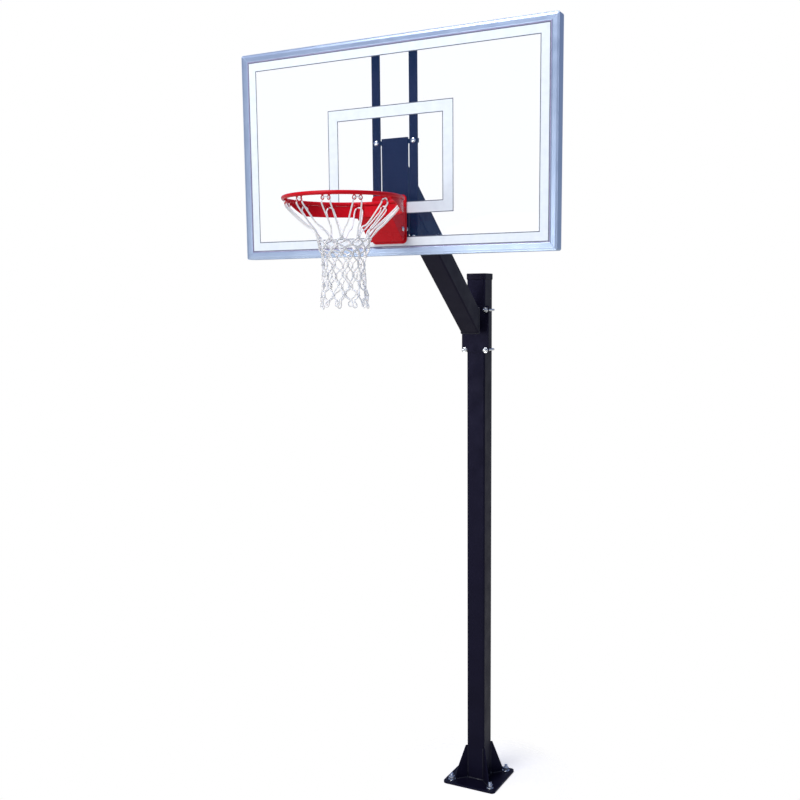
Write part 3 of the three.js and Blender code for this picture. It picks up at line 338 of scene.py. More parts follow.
def braided_cord(name):
    """White nylon braid: two sets of yarns that cross, drawn from each point's place on its cord. Its edges
    darken as seen from the camera: a painted shade outline.
    """
    f = Finish(name)
    turn_and_length = f.add("Attribute", attribute_name="cord")
    cosine, sine, along = f.add("SeparateXYZ", {"Vector": turn_and_length.outputs["Vector"]}).outputs
    angle = f.math("ARCTAN2", sine, cosine)
    lay = 5 * MM  # the length in which the pattern repeats
    advance = f.math("MULTIPLY", along, TURN / lay)
    yarns = f.math("MULTIPLY", angle, 4.0)
    left = f.math("SINE", f.math("ADD", yarns, advance))
    right = f.math("SINE", f.math("SUBTRACT", yarns, advance))
    weave = f.math("MULTIPLY", left, right)
    fuzz = f.bump(f.noise(3000.0, 3.0), 0.05 * MM)
    braid = f.bump(weave, 0.16 * MM, fuzz)
    clean = f.mottle(9.0, 4.0, rgba(0.96, 0.94, 0.90), rgba(0.99, 0.99, 0.99))
    woven = f.blend(f.math("MULTIPLY", f.ramp(weave), 0.2), clean, rgba(0.66, 0.67, 0.72))
    # Painted shade: the cord's colour turns grey towards its edges as seen from the camera, drawing a dark
    # outline.
    rim = f.add("LayerWeight", {"Blend": 0.5}).outputs["Facing"]
    tone = f.blend(f.math("POWER", rim, 7.0), woven, rgba(0.22, 0.24, 0.27))
    return f.principled({
        "Base Color": tone,
        "Roughness": 0.75,
        "Sheen Weight": 0.5,
        "Subsurface Weight": 0.5,
        "Subsurface Radius": (3.0 * MM, 2.8 * MM, 2.6 * MM),
        "Subsurface Scale": 1.0,
        "Normal": braid,
    })


BLACK = {
    "colour": rgba(0.0062, 0.0050, 0.0150),
    "shade": rgba(0.004, 0.0035, 0.009),
    "dust": rgba(0.05, 0.05, 0.09),
    "tint": rgba(0.56, 0.55, 1.0),
    "roughness": 0.42,
    "shine": 0.16,
}
RED = {
    "colour": rgba(0.66, 0.004, 0.012),
    "shade": rgba(0.56, 0.003, 0.008),
    "dust": rgba(0.72, 0.04, 0.06),
    "tint": rgba(1.0, 0.5, 0.65),
    "roughness": 0.24,
    "shine": 0.20,
}
FINISHES = {  # by material slot
    "black_powder_coat": powder_coat("black_powder_coat", **BLACK),
    "red_powder_coat": powder_coat("red_powder_coat", **RED),
    "frame_coat": painted_extrusion("frame_coat"),
    "zinc_plate": zinc_plate("zinc_plate"),
    "cap_plastic": moulded_plastic("cap_plastic"),
    "gasket_rubber": rubber_painted_shade("gasket_rubber"),
    "clear_acrylic": clear_acrylic("clear_acrylic"),
    "net_cord": braided_cord("net_cord"),
}
# Each weld's second colour is the lighter one: painted highlight along the bead.
RED_WELD = weld_metal("red_weld", rgba(0.62, 0.012, 0.02), rgba(0.72, 0.03, 0.04))
BLACK_WELD = weld_metal("black_weld", rgba(0.008, 0.008, 0.014), rgba(0.035, 0.035, 0.05))


# ------------------------------------------------------------------ CAD nodes that stay
def soften(thing, width, segments):
    """Rounds a CAD node's edges by modifiers, and shades its facets smooth."""
    weld = thing.modifiers.new("weld", "WELD")
    weld.merge_threshold = 0.01 * MM
    flats = thing.modifiers.new("flats", "DECIMATE")
    flats.decimate_type = "DISSOLVE"
    flats.angle_limit = math.radians(0.5)
    bevel = thing.modifiers.new("edges", "BEVEL")
    bevel.width = width
    bevel.segments = segments
    bevel.limit_method = "ANGLE"
    bevel.angle_limit = math.radians(32)
    bevel.use_clamp_overlap = False
    normals = thing.modifiers.new("normals", "WEIGHTED_NORMAL")
    normals.weight = 80
    smooth = np.ones(len(thing.data.polygons), bool)
    thing.data.polygons.foreach_set("use_smooth", smooth)


def finish_cad_nodes():
    """Gives every CAD node its finish and soft edges. The pieces made further on replace some of them."""
    slots = {part["node"]: part["material_slot"] for part in frame["record"]["subparts"]}
    for name, thing in frame["nodes"].items():
        slot = slots[name]
        if name in STRIPE_LINES:
            material = printed_ink(name + "_ink", name, STRIPE_LINES[name])
        else:
            material = FINISHES[slot]
        thing.data.materials.clear()
        thing.data.materials.append(material)
        width = EDGE_WIDTHS.get(name, OTHER_EDGE_WIDTH)
        segments = 3 if width > 2 else 2
        if width:
            soften(thing, width * MM, segments)


# ------------------------------------------------------------------ mesh building
def unit(vector):
    return np.asarray(vector, float) / np.linalg.norm(vector)


def distances_along(path):
    """How far along the path each of its points lies."""
    steps = np.linalg.norm(np.diff(path, axis=0), axis=1)
    return np.concatenate([[0], np.cumsum(steps)])


class Shape:
    """Points, faces and, for cords, each point's (cos, sin, length) round and along the cord."""

    def __init__(self):
        self.points, self.faces, self.cord = [], [], []
        self.count = 0

    def rings(self, rings, closed=False, cord=None):
        """Joins equal rings of points into a tube, closed on itself or capped at its ends."""
        rings = np.asarray(rings, float)
        rows, columns = rings.shape[:2]
        at = self.count + np.arange(rows * columns).reshape(rows, columns)
        following = np.roll(at, -1, axis=0) if closed else at[1:]
        these = at if closed else at[:-1]
        corners = [these, np.roll(these, -1, axis=1), np.roll(following, -1, axis=1), following]
        self.faces += np.stack(corners, axis=-1).reshape(-1, 4).tolist()
        if not closed:
            self.faces += [at[0][::-1].tolist(), at[-1].tolist()]
        self.points.append(rings.reshape(-1, 3))
        self.cord.append(np.zeros((rows * columns, 3)) if cord is None else cord.reshape(-1, 3))
        self.count += rows * columns
        return self

    def tube(self, path, radius, sides=8, closed=False):
        """A round rod or cord along a path. Its frame is carried along without turning."""
        path = np.asarray(path, float)
        radii = np.broadcast_to(radius, len(path))
        if closed:
            tangents = np.roll(path, -1, axis=0) - np.roll(path, 1, axis=0)
        else:
            tangents = np.gradient(path, axis=0)
        tangents /= np.linalg.norm(tangents, axis=1, keepdims=True)
        helper = (0, 0, 1) if abs(tangents[0][2]) < 0.9 else (1, 0, 0)
        normal = unit(np.cross(tangents[0], helper))
        angles = np.arange(sides) * TURN / sides
        cosines, sines = np.cos(angles)[:, None], np.sin(angles)[:, None]
        rings, cord = [], []
        for point, tangent, size, length in zip(path, tangents, radii, distances_along(path)):
            normal = unit(normal - tangent * (normal @ tangent))
            side = np.cross(tangent, normal)
            rings.append(point + size * (cosines * normal + sines * side))
            cord.append(np.hstack([cosines, sines, np.full((sides, 1), length)]))
        return self.rings(rings, closed=closed, cord=np.array(cord))

    def turned(self, profile, seat, axis, segments=32, closed=False):
        """A turned or hexagonal piece on an axis. The profile lists (radius, height).

        Either may be an array with a value for each of the segments.
        """
        axis = unit(axis)
        helper = (0, 0, 1) if abs(axis[2]) < 0.9 else (1, 0, 0)
        side = unit(np.cross(helper, axis))
        other = np.cross(axis, side)
        angles = np.arange(segments) * TURN / segments
        around = np.cos(angles)[:, None] * side + np.sin(angles)[:, None] * other
        rings = []
        for radius, height in profile:
            radius = np.broadcast_to(radius, segments)[:, None]
            height = np.broadcast_to(height, segments)[:, None]
            rings.append(np.asarray(seat) + radius * around + height * axis)
        return self.rings(rings, closed=closed)


def hexagon(corner_radius):
    """The radius of a hexagon at even angles, from a corner on."""
    angles = np.arange(NUT_STEPS) * TURN / NUT_STEPS
    return corner_radius * math.cos(math.pi / 6) / np.cos((angles % (TURN / 6)) - TURN / 12)


def hex_profile(corner_radius, bottom, top, bore):
    """A nut's or bolt head's rings: the chamfer's arcs come from where its cone meets the flats."""
    outline = hexagon(corner_radius)
    flat = corner_radius * math.cos(math.pi / 6)
    face = 0.97 * flat
    drop = (outline - face) * math.tan(math.radians(30))
    sides = [(face, bottom), (outline, bottom + drop), (outline, top - drop), (face, top)]
    if not bore:
        return sides
    lead = 0.8 * MM
    return [(bore + lead, bottom), *sides, (bore + lead, top), (bore, top - lead), (bore, bottom + lead)]


def washer_profile(radius, bottom, top, bore):
    edge = 0.4 * MM
    lower = [(bore, bottom), (radius - edge, bottom), (radius, bottom + edge)]
    upper = [(radius, top - edge), (radius - edge, top), (bore, top)]
    return lower + upper


def threaded_rod(shape, start, end, radius, pitch, segments=20):
    """A rod with a helical thread and chamfered ends, from start to end."""
    start, end = np.asarray(start, float), np.asarray(end, float)
    length = np.linalg.norm(end - start)
    axis = (end - start) / length
    rows_per_pitch = 5
    rows = int(length / pitch * rows_per_pitch) + 2
    depth = 0.45 * pitch
    angles = np.arange(segments) / segments
    profile = []
    for height in np.linspace(0, length, rows):
        phase = (height / pitch - angles) % 1.0
        from_end = min(height, length - height)
        lead = max(0.0, depth * 1.3 - from_end)
        profile.append((radius - depth * np.abs(2 * phase - 1) - lead, height))
    return shape.turned(profile, start, axis, segments)


def add_piece(name, shape, body, slot, replaces=(), material=None, crease=35):
    """Makes the shape an object that rides on a CAD body's empty, and hides the CAD nodes it replaces.

    Its material is the slot's, unless another is given. Edges sharper than crease, in degrees, stay sharp.
    """
    mesh = bpy.data.meshes.new(name)
    mesh.from_pydata(np.vstack(shape.points), [], shape.faces)
    mesh.validate()
    cord = np.vstack(shape.cord)
    if np.any(cord):
        attribute = mesh.attributes.new("cord", "FLOAT_VECTOR", "POINT")
        attribute.data.foreach_set("vector", cord.astype(np.float32).ravel())
    mesh.polygons.foreach_set("use_smooth", np.ones(len(mesh.polygons), bool))
    mesh.set_sharp_from_angle(angle=math.radians(crease))
    mesh.materials.append(material or FINISHES[slot])
    piece = bpy.data.objects.new(name, mesh)
    bpy.context.scene.collection.objects.link(piece)
    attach(piece, body)
    if replaces:
        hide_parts(*replaces)
    return piece


def smooth_path(points, steps):
    """A Catmull-Rom curve through the points, with that many steps between neighbours."""
    p = np.asarray(points, float)
    p = np.vstack([2 * p[0] - p[1], p, 2 * p[-1] - p[-2]])
    t = np.linspace(0, 1, steps, endpoint=False)[:, None]
    pieces = []
    for a, b, c, d in zip(p, p[1:], p[2:], p[3:]):
        pieces.append(0.5 * (2 * b + (c - a) * t + (2 * a - 5 * b + 4 * c - d) * t**2
                             + (3 * b - a - 3 * c + d) * t**3))
    return np.vstack(pieces + [p[-2:-1]])


# ------------------------------------------------------------------ fasteners
CORNERS = [end + "_" + side for end in ("front", "rear") for side in ("left", "right")]
PLACES = [level + "_" + side for level in ("upper", "lower") for side in ("left", "right")]


def extent(node):
    """A CAD node's box: its low corner, high corner and middle."""
    low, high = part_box(node)
    return low, high, (low + high) / 2


def add_anchors():
    """Anchor studs, threaded above the base plate, and a washer and nut on each."""
    for corner in CORNERS:
        stud, nut = "anchor_stud_" + corner, "anchor_nut_" + corner
        low, high, middle = extent(stud)
        seat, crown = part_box(nut)
        radius = (high.x - low.x) / 2
        foot = np.array((middle.x, middle.y, 0.0))
        up = np.array((0, 0, 1.0))
        plain = radius * 0.9
        rod = Shape().turned([(plain, low.z), (plain, seat.z)], foot, up, 20)
        threaded_rod(rod, foot + up * seat.z, foot + up * high.z, radius, 2.1 * MM)
        add_piece(stud, rod, "root", "zinc_plate", [stud])
        washer_top = seat.z + 3.5 * MM
        washer_radius = (crown.x - seat.x) / 2
        turned = Shape()
        washer = washer_profile(washer_radius, seat.z, washer_top, radius)
        flats = hex_profile(16.5 * MM, washer_top, crown.z, radius)
        for profile in (washer, flats):
            turned.turned(profile, foot, up, NUT_STEPS, closed=True)
        add_piece(nut, turned, "root", "zinc_plate", [nut])


def add_u_bolts():
    """Square U-bolts, whose legs are threaded at the front, and a washer and nut on each leg."""
    bend = 14 * MM
    thread = 44 * MM
    for level in ("upper", "lower"):
        node = "u_bolt_" + level
        low, high, middle = extent(node)
        radius = (high.z - low.z) / 2
        leg, back, height = high.x - radius, high.y - radius, middle.z
        thread_end = low.y + thread
        quarter = np.linspace(0, math.pi / 2, 9)
        right = [(leg - bend + bend * math.cos(a), back - bend + bend * math.sin(a), height) for a in quarter]
        left = [(-x, y, z) for x, y, z in reversed(right)]
        path = [(leg, thread_end, height), *right, *left, (-leg, thread_end, height)]
        rod = Shape().tube(path, radius * 0.94, 16)
        for side in (-leg, leg):
            threaded_rod(rod, (side, low.y, height), (side, thread_end, height), radius, 1.6 * MM, 16)
        add_piece(node, rod, "arm_assembly", "zinc_plate", [node])
    for place in PLACES:
        node = "u_bolt_nut_" + place
        low, high, middle = extent(node)
        seat, forward = np.array((middle.x, high.y, middle.z)), (0, -1, 0)
        washer_top, depth, bore = 2.5 * MM, high.y - low.y, 6.35 * MM
        turned = Shape()
        washer = washer_profile((high.x - low.x) / 2, 0, washer_top, bore)
        flats = hex_profile(11.5 * MM, washer_top, depth, bore)
        for profile in (washer, flats):
            turned.turned(profile, seat, forward, NUT_STEPS, closed=True)
        add_piece(node, turned, "arm_assembly", "zinc_plate", [node])


def add_rim_bolts():
    """Hexagon bolts with washers, from the rim's back plate to behind the head plate."""
    head, washer, radius, thread = 7.5 * MM, 2 * MM, 6 * MM, 26 * MM
    back = (0, 1, 0)
    for place in PLACES:
        node = "rim_bolt_" + place
        low, high, middle = extent(node)
        seat = np.array((middle.x, low.y, middle.z))
        washer_radius = (high.x - low.x) / 2
        washer_outline = washer_profile(washer_radius, head, head + washer, radius)
        bolt = Shape()
        bolt.turned(hex_profile(11 * MM, 0, head, 0), seat, back, NUT_STEPS)
        bolt.turned(washer_outline, seat, back, NUT_STEPS, closed=True)
        length, plain = high.y - low.y, radius * 0.93
        bolt.turned([(plain, head), (plain, length - thread)], seat, back, 20)
        tail, end = (seat + np.array((0, along, 0)) for along in (length - thread, length))
        threaded_rod(bolt, tail, end, radius, 1.75 * MM)
        add_piece(node, bolt, "arm_assembly", "zinc_plate", [node])


def add_strap_bolts():
    """Round-headed bolts through the straps."""
    head, shank, thread = 6 * MM, 5 * MM, 20 * MM
    back = (0, 1, 0)
    for place in PLACES:
        node = "strap_bolt_" + place
        low, high, middle = extent(node)
        seat = np.array((middle.x, low.y, middle.z))
        radius = (high.x - low.x) / 2
        rise = np.linspace(0.05, 1, 8) * math.pi / 2
        dome = [(radius * math.sin(a), head * (1 - math.cos(a))) for a in rise]
        length, plain = high.y - low.y, shank * 0.93
        bolt = Shape().turned([*dome, (shank, head), (plain, length - thread)], seat, back, 32)
        tail, end = (seat + np.array((0, along, 0)) for along in (length - thread, length))
        threaded_rod(bolt, tail, end, shank, 1.5 * MM, 16)
        add_piece(node, bolt, "arm_assembly", "zinc_plate", [node])


def add_frame_screws():
    """Small pan-head screws from the straps into the board's frame."""
    pan = [(8 * MM, 0), (8 * MM, 2.2 * MM), (7 * MM, 3.8 * MM), (5 * MM, 4.6 * MM)]
    recess = [(3.4 * MM, 4.6 * MM), (3.0 * MM, 2.4 * MM)]
    frame_half = 16 * MM
    board_low, board_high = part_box("frame_bottom")[0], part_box("frame_top")[1]
    heights = {"upper": board_high.z - frame_half, "lower": board_low.z + frame_half}
    for level, height in heights.items():
        screws = Shape()
        for side in ("left", "right"):
            _, strap_high, middle = extent("board_strap_" + side)
            screws.turned([*pan, *recess], (middle.x, strap_high.y, height), (0, 1, 0), 24)
        add_piece("frame_screws_" + level, screws, "arm_assembly", "zinc_plate")


def add_hinge_pin():
    """A pin with a crowned head at each end."""
    low, high, middle = extent("hinge_pin")
    shank, head, width = 6 * MM, 10 * MM, 7 * MM
    half = (high.x - low.x) / 2
    crown = [(4 * MM, half), (8 * MM, half - 0.6 * MM), (head, half - 2.4 * MM)]
    end = [*crown, (head, half - width), (shank, half - width)]
    other_end = [(radius, -height) for radius, height in reversed(end)]
    pin = Shape().turned(end + other_end, middle, (-1, 0, 0), 32)
    add_piece("hinge_pin", pin, "arm_assembly", "zinc_plate", ["hinge_pin"])


def add_springs():
    """Coil springs with their end turns wound closer."""
    for side in ("left", "right"):
        node = "breakaway_spring_" + side
        low, high, middle = extent(node)
        coil = (high.x - low.x) / 2 - SPRING_WIRE
        t = np.linspace(0, 1, SPRING_TURNS * 24 + 1)
        angles = t * SPRING_TURNS * TURN
        wound = t - 0.045 * np.sin(TURN * t)
        y = high.y - SPRING_WIRE - wound * (high.y - low.y - 2 * SPRING_WIRE)
        path = np.stack([middle.x + coil * np.cos(angles), y, middle.z + coil * np.sin(angles)], axis=1)
        spring = Shape().tube(path, SPRING_WIRE, 10)
        piece = add_piece(node, spring, "arm_assembly", "zinc_plate", [node])
        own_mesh(piece)


# ------------------------------------------------------------------ weld beads
def bead(shape, path, radius, closed=False):
    """A ripple-marked weld bead along a path of corners, with a hand-made unevenness."""
    corners = np.asarray(path + path[:1] if closed else path, float)
    lengths = distances_along(corners)
    spacing = radius * 0.55
    count = max(6, int(lengths[-1] / spacing))
    at = np.linspace(0, lengths[-1], count, endpoint=not closed)
    points = np.stack([np.interp(at, lengths, corners[:, axis]) for axis in range(3)], axis=1)
    points += rng.normal(0, radius * 0.05, points.shape)
    ripple = 1 + 0.10 * np.sin(np.arange(count) * TURN / 3.1) + rng.normal(0, 0.05, count)
    sizes = radius * ripple
    if not closed:
        sizes[[0, -1]] *= 0.5
    return shape.tube(points, sizes, 8, closed=closed)


def loop_corners(half_x, half_z, y, middle_z):
    """The corners of an upright rectangle, in order round it."""
    signs = [(-1, -1), (1, -1), (1, 1), (-1, 1)]
    return [(sx * half_x, y, middle_z + sz * half_z) for sx, sz in signs]


def add_post_weld():
    """The bead round the post's foot, which follows its rounded corners."""
    plate_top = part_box("base_plate")[1].z
    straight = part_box("post")[1].x - POST_CORNER
    foot = []
    for quarter in range(4):
        start = quarter * TURN / 4
        centre = Matrix.Rotation(start, 2) @ Vector((straight, straight))
        for angle in np.linspace(start, start + TURN / 4, 7):
            offset = Vector((math.cos(angle), math.sin(angle))) * (POST_CORNER + 0.5 * MM)
            foot.append((*(centre + offset), plate_top + 1.2 * MM))
    weld = bead(Shape(), foot, 4 * MM, closed=True)
    add_piece("weld_post_foot", weld, "root", "black_powder_coat", material=BLACK_WELD)


def add_gusset_welds():
    """Beads along both sides of each gusset: one on the plate and one up the post's corner."""
    plate_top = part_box("base_plate")[1].z
    post_corner = (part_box("post")[1].x - POST_CORNER) * math.sqrt(2) + POST_CORNER  # from the post's axis
    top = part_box("gusset_front_left")[1].z
    clip = 13 * MM  # the gussets' inner lower corners are cut off, clear of the post's weld
    for corner in CORNERS:
        side = extent("gusset_" + corner)[2]
        out = unit((side.x, side.y, 0))
        across = np.cross(out, (0, 0, 1))
        welds = Shape()
        for sign in (-1, 1):
            edge = across * sign * (GUSSET_HALF + 0.6 * MM)
            low = np.array((0, 0, plate_top + 0.8 * MM))
            run = [out * reach + edge + low for reach in (post_corner + clip, GUSSET_TOE - 1 * MM)]
            bead(welds, run, 3.0 * MM)
            heights = [np.array((0, 0, z)) for z in (plate_top + clip, top - 2 * MM)]
            bead(welds, [out * (post_corner - 0.6 * MM) + edge + z for z in heights], 2.6 * MM)
        add_piece("weld_gusset_" + corner, welds, "root", "black_powder_coat", material=BLACK_WELD)


def add_arm_welds():
    """Beads round the sloping arm's two ends, and round the stub behind it."""
    low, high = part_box("arm")
    half = high.x
    half_height = half / math.cos(ARM_SLOPE)
    _, mount_high, mount_middle = extent("arm_mount")
    stub_half, stub_half_height = 19 * MM, 50.8 * MM
    runs = {  # half width, half height, y, middle's height
        "weld_arm_head": (half - 1 * MM, half_height, low.y, high.z - half_height),
        "weld_arm_foot": (half - 1 * MM, half_height - 1 * MM, high.y, low.z + half_height),
        "weld_stub_plate": (stub_half, stub_half_height, mount_high.y - 0.6 * MM, mount_middle.z),
    }
    for name, (half_x, half_z, y, middle_z) in runs.items():
        shape = bead(Shape(), loop_corners(half_x, half_z, y, middle_z), 3.4 * MM, closed=True)
        add_piece(name, shape, "arm_assembly", "black_powder_coat", material=BLACK_WELD)


# ------------------------------------------------------------------ ring
ring_low, ring_high, ring_middle = extent("ring")
RING_CENTRE = np.array((ring_middle.x, ring_middle.y, ring_high.z - RING_ROD))
RING_RADIUS = (ring_high.x - ring_low.x) / 2 - RING_ROD  # to the rod's centre line
HOOK_TOP = RING_CENTRE[2] - 4.6 * MM
HOOK_EYE = HOOK_TOP - HOOK_DEPTH + HOOK_WIRE + NET_CORD  # where a cord lies in a loop


def around_ring(angle):
    """Outward and along directions at an angle round the ring."""
    c, s = math.cos(angle), math.sin(angle)
    return np.array((c, s, 0.0)), np.array((-s, c, 0.0))


def hook_angles():
    return [(i + 0.5) * TURN / HOOKS for i in range(HOOKS)]


def hook_wire(angle):
    """One hook: a wire that leaves the rod, curls through two loops, and comes back to the rod."""
    out, along = around_ring(angle)
    base = RING_CENTRE + (RING_RADIUS - HOOK_INSET) * out
    base[2] = HOOK_TOP
    t = np.linspace(0, 1, 57)[:, None]
    curl = np.sin(2 * TURN * t)
    aside = along * (HOOK_HALF * (2 * t - 1) + HOOK_CURL * curl)
    drop = np.array((0, 0, -HOOK_DEPTH / 2)) * (1 - np.cos(2 * TURN * t))
    return base + aside + drop + out * HOOK_SPLIT * curl


def add_ring():
    """The ring's rod with its hooks, and a short weld at each hook's middle and ends."""
    steps = 160
    path = [RING_CENTRE + RING_RADIUS * around_ring(i * TURN / steps)[0] for i in range(steps)]
    ring = Shape().tube(path, RING_ROD, 20, closed=True)
    spots = Shape()
    for angle in hook_angles():
        ring.tube(hook_wire(angle), HOOK_WIRE)
        out, along = around_ring(angle)
        base = RING_CENTRE + (RING_RADIUS - HOOK_INSET * 0.8) * out
        for sign in (-1, 0, 1):
            place = base + along * (sign * HOOK_HALF)
            place[2] = HOOK_TOP - 0.4 * MM
            reach = along * 3.4 * MM
            bead(spots, [place - reach, place, place + reach], 2.6 * MM)
    add_piece("ring", ring, "rim", "red_powder_coat", ["ring"])
    add_piece("weld_hooks", spots, "rim", "red_powder_coat", material=RED_WELD)


# ------------------------------------------------------------------ net
def net_point(angle, height, outward):
    """A point on the net's outline, moved outward."""
    radius = np.interp(height, NET_HEIGHTS, NET_RADII) + outward
    point = RING_CENTRE + radius * around_ring(angle)[0]
    point[2] = height
    return point


def outward_at(point):
    """The level direction from the ring's axis to the point."""
    return unit((point[0] - RING_CENTRE[0], point[1] - RING_CENTRE[1], 0))


def row_height(row):
    close = min(row, NET_CLOSE_ROWS)
    return NET_FIRST_ROW - close * NET_CLOSE_STEP - (row - close) * NET_STEP


def knots():
    """Each row's knots, a half step round from the row above, pulled a little out of true."""
    grid = []
    for row in range(NET_ROWS):
        shift = 1.0 if row % 2 == 0 else 0.5
        loose = 1.0 + 0.9 * row / NET_ROWS
        line = []
        for i in range(HOOKS):
            angle = (i + shift) * TURN / HOOKS + NET_TWIST * row / NET_ROWS
            angle += rng.normal(0, NET_SWAY) * loose
            height = row_height(row) + rng.normal(0, NET_STRAY) * loose
            line.append(net_point(angle, height, rng.normal(0, NET_STRAY) * loose))
        grid.append(line)
    return grid


def ease(t):
    """Goes from 0 to 1 as t does, and is level at both."""
    return t * t * (3 - 2 * t)


def strand(shape, start, end, bulge, aside):
    """A cord between two knots: it leaves and meets them steeply, and bows outward between."""
    t = np.linspace(0, 1, 11)
    turn = NET_SLANT * t + (1 - NET_SLANT) * ease(ease(t))
    path = []
    for even, turned in zip(t, turn):
        point = start + (end - start) * turned
        point[2] = start[2] + (end[2] - start[2]) * even
        out = outward_at(point)
        path.append(point + out * bulge * math.sin(math.pi * even) + np.cross(out, (0, 0, 1)) * aside)
    return shape.tube(path, NET_CORD)


def tie(shape, point, size):
    """A knot: cord wound round the two strands, each turn tilted across the one below."""
    out = outward_at(point)
    along = np.cross((0, 0, 1), out)
    for turn in range(KNOT_TURNS):
        tilt = rng.uniform(0.25, 0.6) * (-1 if turn % 2 else 1)
        lift = (turn - (KNOT_TURNS - 1) / 2) * NET_CORD * 1.7
        path = []
        for a in np.arange(12) * TURN / 12:
            flat = point + size * (math.cos(a) * along + 0.75 * math.sin(a) * out)
            path.append(flat + np.array((0, 0, lift + size * tilt * math.cos(a))))
        shape.tube(path, NET_CORD * 0.9, 7, closed=True)


def hang_loops(shape, first_row):
    """The long top loops: each goes up from one knot, through both loops of a hook, and down to the next."""
    for i, angle in enumerate(hook_angles()):
        out, along = around_ring(angle)
        hook = RING_CENTRE + (RING_RADIUS - HOOK_INSET) * out
        hook[2] = HOOK_EYE
        edge = HOOK_HALF / 2
        right = [  # aside, outward and up, from the middle of the hook at its eyes' height
            (edge * 0.4, 2.5 * MM, 4.5 * MM),
            (edge + 1 * MM, -2 * MM, -3 * MM),
            (edge + 5 * MM, -7 * MM, -19 * MM),
        ]
        left = [(-aside, outward, up) for aside, outward, up in reversed(right)]
        spots = left + right
        crown = [hook + along * aside + out * outward + (0, 0, up) for aside, outward, up in spots]
        legs = []
        for knot, top, side in ((first_row[i - 1], crown[0], 1), (first_row[i], crown[-1], -1)):
            inner = -outward_at(knot)
            sag = rng.uniform(-3, 20) * MM
            beside = np.cross(inner, (0, 0, 1)) * side * NET_PLY
            drift = np.cross(inner, (0, 0, 1)) * rng.normal(0, 7 * MM)
            low = (3 * knot + top) / 4 + inner * sag + beside + drift / 2
            middle = (knot + top) / 2 + inner * sag + beside + drift
            low[2] += 5 * MM
            middle[2] -= sag * 0.5
            legs.append((knot + beside, low, middle))
        path = [*legs[0], *crown, *reversed(legs[1])]
        shape.tube(smooth_path(path, 6), NET_LOOP_CORD, 9)


def hang_ends(shape, last_row):
    """The bottom loops, which hang open below the last knots: some long, some twisted nearly shut."""
    for i in range(HOOKS):
        left, right = last_row[i], last_row[(i + 1) % HOOKS]
        middle = (left + right) / 2
        out, along = outward_at(middle), unit(right - left)
        tip = middle + out * rng.uniform(0, 14) * MM + along * rng.normal(0, 6 * MM)
        tip[2] = NET_END + NET_CORD + rng.uniform(0, 13) * MM
        pinch = rng.uniform(0.25, 0.95)
        bows = []
        for knot, sign in ((left, -1), (right, 1)):
            waist = middle * 0.55 + tip * 0.45 + along * sign * 10 * MM * pinch + out * sign * 3 * MM
            side = tip + along * sign * 9.5 * MM * (1.15 - pinch * 0.4) - out * sign * 2.5 * MM
            side[2] = tip[2] + 9 * MM
            bows.append((knot, (knot + waist) / 2 + along * sign * 2 * MM, waist, side))
        path = [*bows[0], tip, *reversed(bows[1])]
        shape.tube(smooth_path(path, 5), NET_CORD)


def add_net():
    """The net in two pieces: the long loops and the close double rows, and the open single rows below."""
    grid = knots()
    upper, lower = Shape(), Shape()
    hang_loops(upper, grid[0])
    for row in range(NET_ROWS - 1):
        close = row < NET_CLOSE_ROWS
        part = upper if close else lower
        for i, knot in enumerate(grid[row]):
            for step in (0, 1) if row % 2 == 0 else (0, -1):
                other = grid[row + 1][(i + step) % HOOKS]
                for aside in (-NET_PLY, NET_PLY) if close else (0.0,):
                    strand(part, knot, other, rng.uniform(0, 4) * MM, aside)
    for row, line in enumerate(grid):
        close = row <= NET_CLOSE_ROWS
        for knot in line:
            tie(upper if close else lower, knot, CLOSE_KNOT if close else OPEN_KNOT)
    hang_ends(lower, grid[-1])
    add_piece("net_upper", upper, "rim", "net_cord", ["net"], crease=80)
    add_piece("net_lower", lower, "rim", "net_cord", crease=80)


# ------------------------------------------------------------------ stage
def add_floor():
    """A pale disc that takes the base's shadow and fades into the white round it."""
    f = Finish("floor")
    x, y, _ = f.axes()
    distance = f.math("SQRT", f.math("ADD", f.math("MULTIPLY", x, x), f.math("MULTIPLY", y, y)))
    near, far = FLOOR_FADE
    edge = f.add("MapRange", {"Value": distance, "From Min": near, "From Max": far})
    tone = f.mottle(3.0, 4.0, rgba(0.88, 0.88, 0.88), rgba(0.92, 0.92, 0.92))
    matte = f.add("BsdfDiffuse", {"Color": tone})
    glow = f.add("Emission", {"Color": rgba(*FLOOR_GLOW), "Strength": 1.0})
    seen = f.add("LightPath").outputs["Is Camera Ray"]
    dark = f.add("Emission", {"Color": rgba(0, 0, 0), "Strength": 0.0})
    lit = f.add("AddShader", {0: matte, 1: f.add("MixShader", {0: seen, 1: dark, 2: glow})})
    clear = f.add("BsdfTransparent")
    f.feed(f.output.inputs["Surface"], f.add("MixShader", {0: edge, 1: lit, 2: clear}))
    signs = [(-1, -1), (1, -1), (1, 1), (-1, 1)]
    corners = [(sx * FLOOR_HALF, sy * FLOOR_HALF, 0) for sx, sy in signs]
    mesh = bpy.data.meshes.new("floor")
    mesh.from_pydata(corners, [], [(0, 1, 2, 3)])
    mesh.materials.append(f.material)
    floor = bpy.data.objects.new("floor", mesh)
    bpy.context.scene.collection.objects.link(floor)


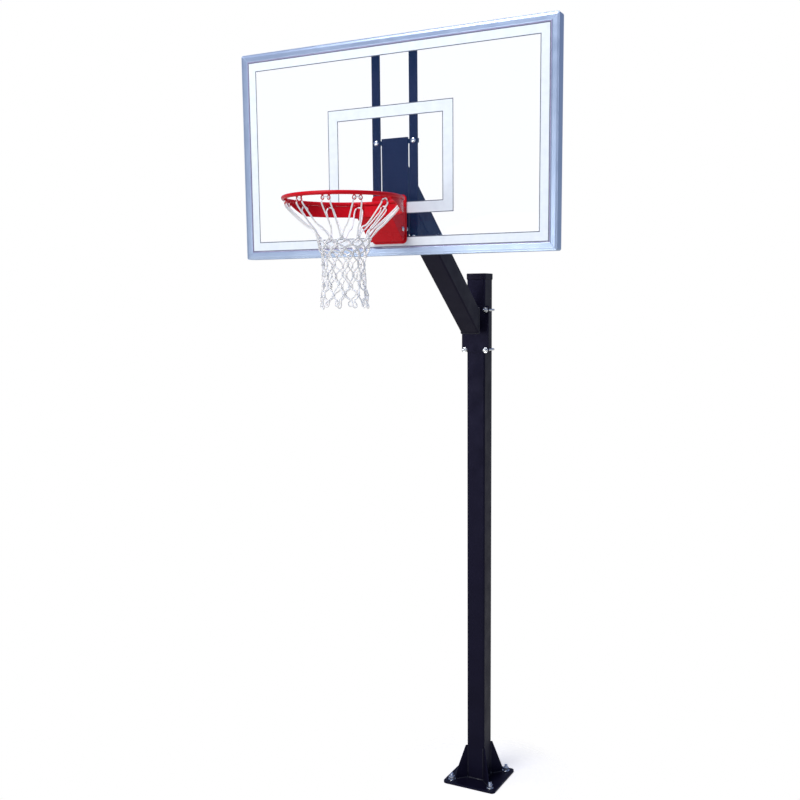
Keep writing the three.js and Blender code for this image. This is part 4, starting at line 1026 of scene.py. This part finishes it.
def add_world():
    """White to the camera. The light it gives goes from the ground's white to the sky's blue."""
    world = bpy.data.worlds.new("studio")
    bpy.context.scene.world = world
    world.use_nodes = True
    nodes, links = world.node_tree.nodes, world.node_tree.links
    nodes.clear()
    output = nodes.new("ShaderNodeOutputWorld")
    seen, lit = nodes.new("ShaderNodeBackground"), nodes.new("ShaderNodeBackground")
    mix = nodes.new("ShaderNodeMixShader")
    seen.inputs["Color"].default_value = (1, 1, 1, 1)
    seen.inputs["Strength"].default_value = 1.0
    lit.inputs["Strength"].default_value = WORLD_STRENGTH
    coordinates = nodes.new("ShaderNodeTexCoord")
    split = nodes.new("ShaderNodeSeparateXYZ")
    height = nodes.new("ShaderNodeMapRange")
    height.inputs["From Min"].default_value = -1.0
    height.inputs["From Max"].default_value = 1.0
    ramp = nodes.new("ShaderNodeValToRGB")
    ramp.color_ramp.elements[0].color = (*GROUND, 1)
    ramp.color_ramp.elements[1].color = (*ZENITH, 1)
    for place, colour in SKY:
        ramp.color_ramp.elements.new(place).color = (*colour, 1)
    path = nodes.new("ShaderNodeLightPath")
    links.new(coordinates.outputs["Generated"], split.inputs[0])
    links.new(split.outputs["Z"], height.inputs["Value"])
    links.new(height.outputs[0], ramp.inputs["Fac"])
    links.new(ramp.outputs["Color"], lit.inputs["Color"])
    links.new(path.outputs["Is Camera Ray"], mix.inputs[0])
    links.new(lit.outputs[0], mix.inputs[1])
    links.new(seen.outputs[0], mix.inputs[2])
    links.new(mix.outputs[0], output.inputs["Surface"])


def add_light(name, place, target, size, power, colour):
    light = bpy.data.lights.new(name, "AREA")
    light.shape = "DISK"
    light.size = size
    light.energy = power
    light.color = colour
    lamp = bpy.data.objects.new(name, light)
    bpy.context.scene.collection.objects.link(lamp)
    lamp.location = place
    lamp.rotation_mode = "QUATERNION"
    lamp.rotation_quaternion = (Vector(target) - Vector(place)).to_track_quat("-Z", "Y")


def add_camera():
    yaw, pitch, roll = CAMERA_YAW, CAMERA_PITCH, CAMERA_ROLL
    forward = Vector((-math.sin(yaw) * math.cos(pitch), math.cos(yaw) * math.cos(pitch), math.sin(pitch)))
    level = Vector((math.cos(yaw), math.sin(yaw), 0))
    upright = level.cross(forward)
    right = math.cos(roll) * level + math.sin(roll) * upright
    up = -math.sin(roll) * level + math.cos(roll) * upright
    data = bpy.data.cameras.new("camera")
    data.sensor_width = CAMERA_SENSOR
    data.lens = CAMERA_LENS
    data.shift_x, data.shift_y = CAMERA_SHIFT
    camera = bpy.data.objects.new("camera", data)
    bpy.context.scene.collection.objects.link(camera)
    turn = Matrix((right, up, -forward)).transposed().to_4x4()
    camera.matrix_world = Matrix.Translation(CAMERA_PLACE) @ turn
    bpy.context.scene.camera = camera


def add_stage():
    add_floor()
    add_world()
    for name, settings in LIGHTS.items():
        add_light(name, *settings)
    add_camera()
    bpy.context.scene.view_settings.view_transform = "Standard"


# ------------------------------------------------------------------ assembly
finish_cad_nodes()
add_anchors()
add_u_bolts()
add_rim_bolts()
add_strap_bolts()
add_frame_screws()
add_hinge_pin()
add_springs()
add_post_weld()
add_gusset_welds()
add_arm_welds()
add_ring()
add_net()
add_stage()
